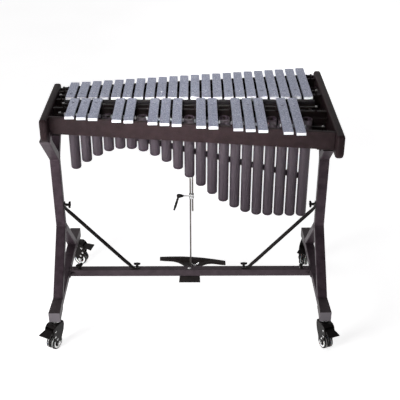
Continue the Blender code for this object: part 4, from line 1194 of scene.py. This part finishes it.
# the open space between the fork's cheeks, as (along, height)
SLOT = ((-0.060, 0.010), (0.090, 0.010), (0.090, 0.110), (0.026, 0.110), (0.024, 0.074), (0.010, 0.070),
        (-0.060, 0.070))


def make_caster_fork(place):
    name = place.name
    hood_curve = [(p.x, p.y) for p in smooth_route([(u, z, 0) for u, z in HOOD], 3)]
    hood = soften(place.prism(hood_curve, -HOOD_HALF, HOOD_HALF), 0.0022, 3, 40)
    fork = piece(f"{name}_fork_shell", hood, "black_plastic", f"{name}_caster", [f"{name}_caster_fork"])
    cut(fork, soften(place.prism(SLOT, -CHEEK_HALF, CHEEK_HALF), 0.0016, 2, 40))
    rise = box(f"{name}_foot_block")[0].z - HOOD_TOP
    race = ((-0.001, 0.0150), (0, 0.0172), (0.0018, 0.0190), (0.0034, 0.0192), (0.0040, 0.0180),
            (0.0056, 0.0178), (0.0062, 0.0196), (rise - 0.0008, 0.0198), (rise - 0.0002, 0.0192),
            (rise - 0.0002, 0.0054))
    race_shape = turned(place.at(0, 0, HOOD_TOP), UP, race, 40)
    piece(f"{name}_swivel_race", race_shape, "bright_steel", f"{name}_caster")
    screws = [button_screw(place.at(u, way * HOOD_HALF, z), place.side * way, 0.0030) for way in (-1, 1)
              for u, z in ((0.030, 0.052), (0.0405, 0.070), (BRAKE_PIVOT, BRAKE_HEIGHT))]
    piece(f"{name}_cheek_screws", joined(screws), "bright_steel", f"{name}_caster")
    ends = {way: place.at(place.trail, way * HOOD_HALF, place.axle.z) for way in (-1, 1)}
    axle = [turned(ends[-1], place.side, ((0, 0.0037), (2 * HOOD_HALF, 0.0037)), 24)]
    axle += [hex_bolt(end, place.side * way, 0.0060, 0.0032) for way, end in ends.items()]
    piece(f"{name}_axle_bolt", joined(axle), "bright_steel", f"{name}_caster", [f"{name}_caster_axle"])


def make_caster_wheels(place):
    """Two tyres on black hubs, each with a pale ring moulded into its outer face."""
    name, body = place.name, f"{place.name}_wheels"
    rim = place.axle.z
    inner, outer = 0.0020, 0.0190
    middle_x = (inner + outer) / 2
    band_edge = rim - 0.00045
    soft = 0.0042
    arc = [math.radians(a) for a in (0, 18, 36, 54, 72, 90)]
    outer_edge = [(outer - soft + soft * math.sin(a), rim - soft + soft * math.cos(a)) for a in arc]
    inner_edge = [(inner + soft - soft * math.cos(a), rim - soft + soft * math.sin(a)) for a in arc]
    groove = ((middle_x - 0.0010, rim), (middle_x - 0.0007, rim - 0.0006), (middle_x + 0.0007, rim - 0.0006),
              (middle_x + 0.0010, rim))
    band = ((middle_x - 0.0006, rim - 0.0012), (middle_x - 0.0006, band_edge), (middle_x + 0.0006, band_edge),
            (middle_x + 0.0006, rim - 0.0012))
    outer_ring = ((outer - 0.0030, 0.0165), (outer - 0.0030, 0.0238), (outer - 0.0006, 0.0236),
                  (outer - 0.0001, 0.0228), (outer - 0.0001, 0.0176), (outer - 0.0006, 0.0168))
    inner_ring = ((inner + 0.0020, 0.0165), (inner + 0.0020, 0.0225), (inner - 0.0002, 0.0222),
                  (inner - 0.0002, 0.0170))
    centre = place.axle
    tyres, rings, hubs = [], [], []
    for way in (-1, 1):
        axis = place.side * way
        tyre = ((inner, 0.0175), *inner_edge, *groove, *outer_edge, (outer, 0.0242), (outer - 0.0010, 0.0236),
                (outer - 0.0014, 0.0175))
        tyres.append(turned(centre, axis, tyre, 56, closed=True))
        rings += [turned(centre, axis, profile, 56, closed=True)
                  for profile in (band, outer_ring, inner_ring)]
        hub = ((inner, 0.0045), (inner, 0.0168), (inner + 0.0014, 0.0176), (outer - 0.0028, 0.0176),
               (outer - 0.0022, 0.0160), (outer - 0.0034, 0.0150), (outer - 0.0040, 0.0110),
               (outer - 0.0022, 0.0098), (outer - 0.0006, 0.0090), (outer - 0.0004, 0.0070),
               (outer - 0.0004, 0.0045))
        hubs.append(turned(centre, axis, hub, 48, closed=True))
        for k in range(6):
            turn = 2 * math.pi * k / 6
            away = place.out * math.cos(turn) + UP * math.sin(turn)
            spoke = centre + axis * (outer - 0.0036) + away * 0.0130
            rib = loft([[spoke + away * a + axis.cross(away) * b + axis * c for a, b in
                         ((-0.0030, -0.0009), (0.0030, -0.0012), (0.0030, 0.0012), (-0.0030, 0.0009))]
                        for c in (-0.001, 0.0014)])
            hubs.append(soften(rib, 0.0004, 2))
    gap = 0.0044
    spacer = ((0, 0.0045), (0, 0.0098), (gap, 0.0098), (gap, 0.0045))
    hubs.append(turned(place.axle - place.side * gap / 2, place.side, spacer, 32, closed=True))
    piece(f"{name}_tyres", joined(tyres), "tyre_black", body, [f"{name}_caster_wheels"])
    piece(f"{name}_wheel_rings", joined(rings), "ring_grey", body)
    piece(f"{name}_wheel_hubs", joined(hubs), "black_plastic", body)


def make_brake_pedal(place):
    """A fan-shaped foot lever that widens outwards and ends in a ribbed, turned-up lip."""
    name = place.name
    # distance along the lever, half width, bottom, top
    stations = (
        (0.0315, 0.0180, 0.0730, 0.1030), (0.0450, 0.0185, 0.0730, 0.1030), (0.0515, 0.0192, 0.0845, 0.1018),
        (0.0560, 0.0200, 0.0930, 0.1006), (0.0640, 0.0216, 0.0922, 0.0990), (0.0720, 0.0233, 0.0908, 0.0972),
        (0.0790, 0.0248, 0.0892, 0.0956), (0.0825, 0.0256, 0.0884, 0.0948), (0.0838, 0.0258, 0.0892, 0.0940),
    )
    rings = []
    for u, half, low, high in stations:
        ring = []
        for a, b in rounded_ring(24, 0.28):
            crown = 0.0008 * (1 - a ** 2) if b > 0 else 0
            ring.append(place.at(u, half * a, (low + high) / 2 + (high - low) / 2 * b - crown))
        rings.append(ring)
    shapes = [loft(rings)]
    for k in range(5):
        u = 0.0610 + 0.0048 * k
        half = 0.0160 + 0.0045 * k / 4
        z = 0.1000 - (u - 0.056) * 0.21 - 0.0013
        shapes.append(sweep([place.at(u, v, z) for v in (-half, half)], 0.0010, 10))
    piece(f"{name}_brake_lever", joined(shapes), "black_plastic", f"{name}_brake", [f"{name}_brake_pedal"])


def make_casters():
    for name in CASTERS:
        place = CasterFrame(name)
        make_caster_fork(place)
        make_caster_wheels(place)
        make_brake_pedal(place)


# ---- stage ----------------------------------------------------------------------------------
FLOOR_GLOW = 0.76
# light: name, place, what it points at, size, power, spread in degrees
LIGHTS = (
    ("key", (-1.9, -1.7, 0.9), (0, 0, 0.6), 1.2, 50, 180),
    ("fill", (2.6, -4.0, 0.9), (0, 0, 0.6), 2.4, 10, 180),
    ("top", (-0.6, 0.6, 4.2), (0, 0, 0.6), 3.0, 3, 180),
    ("bars", (-0.5, -2.4, 2.2), (0, 0, 1.22), 0.5, 5.5, 26),
)
# brightness of the surroundings along each axis: (from, to, first, last)
SURROUNDINGS = {
    "X": (-0.40, 0.40, 1.15, 0.66),
    "Y": (-0.30, 0.30, 0.30, 1.00),
    "Z": (0.60, 0.86, 1.00, 0.06),
}


def make_floor():
    reach = 14
    corners = ((-reach, -reach), (reach, -reach), (reach, reach), (-reach, reach))
    bm = loft([[(x, y, z) for x, y in corners] for z in (-0.02, -0.0002)])
    mesh = bpy.data.meshes.new("studio_floor")
    bm.to_mesh(mesh)
    bm.free()
    f = Finish("studio_floor")
    paper = f.blend(f.noise(2.0), (0.86, 0.86, 0.86), (0.90, 0.90, 0.90))
    f.set(Base_Color=paper, Roughness=0.9, Specular_IOR_Level=0.0, Emission_Color=paper,
          Emission_Strength=FLOOR_GLOW)
    mesh.materials.append(f.material)
    floor = bpy.data.objects.new("studio_floor", mesh)
    bpy.context.collection.objects.link(floor)


def make_lights():
    """Soft boxes, a narrow beam on the bars and a bright wall behind: upright faces outshine level ones."""
    for name, place, aim, size, power, spread in LIGHTS:
        light = bpy.data.lights.new(name, "AREA")
        light.size = size
        light.energy = power
        light.spread = math.radians(spread)
        lamp = bpy.data.objects.new(name, light)
        lamp.location = place
        lamp.rotation_euler = (Vector(aim) - Vector(place)).to_track_quat("-Z", "Y").to_euler()
        bpy.context.collection.objects.link(lamp)
    world = bpy.data.worlds.new("studio")
    world.use_nodes = True
    bpy.context.scene.world = world
    nodes, links = world.node_tree.nodes, world.node_tree.links
    direction = nodes.new("ShaderNodeSeparateXYZ")
    links.new(nodes.new("ShaderNodeTexCoord").outputs["Generated"], direction.inputs[0])
    strength = None
    for axis, (start, end, low, high) in SURROUNDINGS.items():
        shade = nodes.new("ShaderNodeMapRange")
        for key, value in (("From Min", start), ("From Max", end), ("To Min", low), ("To Max", high)):
            shade.inputs[key].default_value = value
        links.new(direction.outputs[axis], shade.inputs["Value"])
        if strength is None:
            strength = shade.outputs["Result"]
            continue
        product = nodes.new("ShaderNodeMath")
        product.operation = "MULTIPLY"
        links.new(strength, product.inputs[0])
        links.new(shade.outputs["Result"], product.inputs[1])
        strength = product.outputs[0]
    background = nodes["Background"]
    background.inputs["Color"].default_value = (1.0, 0.99, 1.0, 1)
    links.new(strength, background.inputs["Strength"])


def make_camera():
    """The viewpoint is measured from the crossbar's middle and the tops of the bars."""
    crossbar = middle("crossbar")
    camera = bpy.data.cameras.new("camera")
    camera.sensor_width = 36.0
    camera.lens = 72.6
    viewer = bpy.data.objects.new("camera", camera)
    viewer.location = (crossbar.x + 0.0260, crossbar.y - 2.9557, BAR_TOP + 1.1844)
    viewer.rotation_euler = (math.radians(60.88), 0, math.radians(-0.306))
    bpy.context.collection.objects.link(viewer)
    bpy.context.scene.camera = viewer
    bpy.context.scene.view_settings.view_transform = "Standard"


make_floor()
make_lights()
make_camera()
make_bars()
make_cords()
make_bar_rails()
make_cord_anchors()
make_end_boards()
make_ledges()
make_long_rails()
make_resonators()
make_damper()
make_pull_rods()
make_rod_clamp()
make_clamp_lever()
make_pedal()
make_pedal_mount()
make_side_frames()
make_feet()
make_crossbar()
make_braces()
make_knobs()
make_casters()
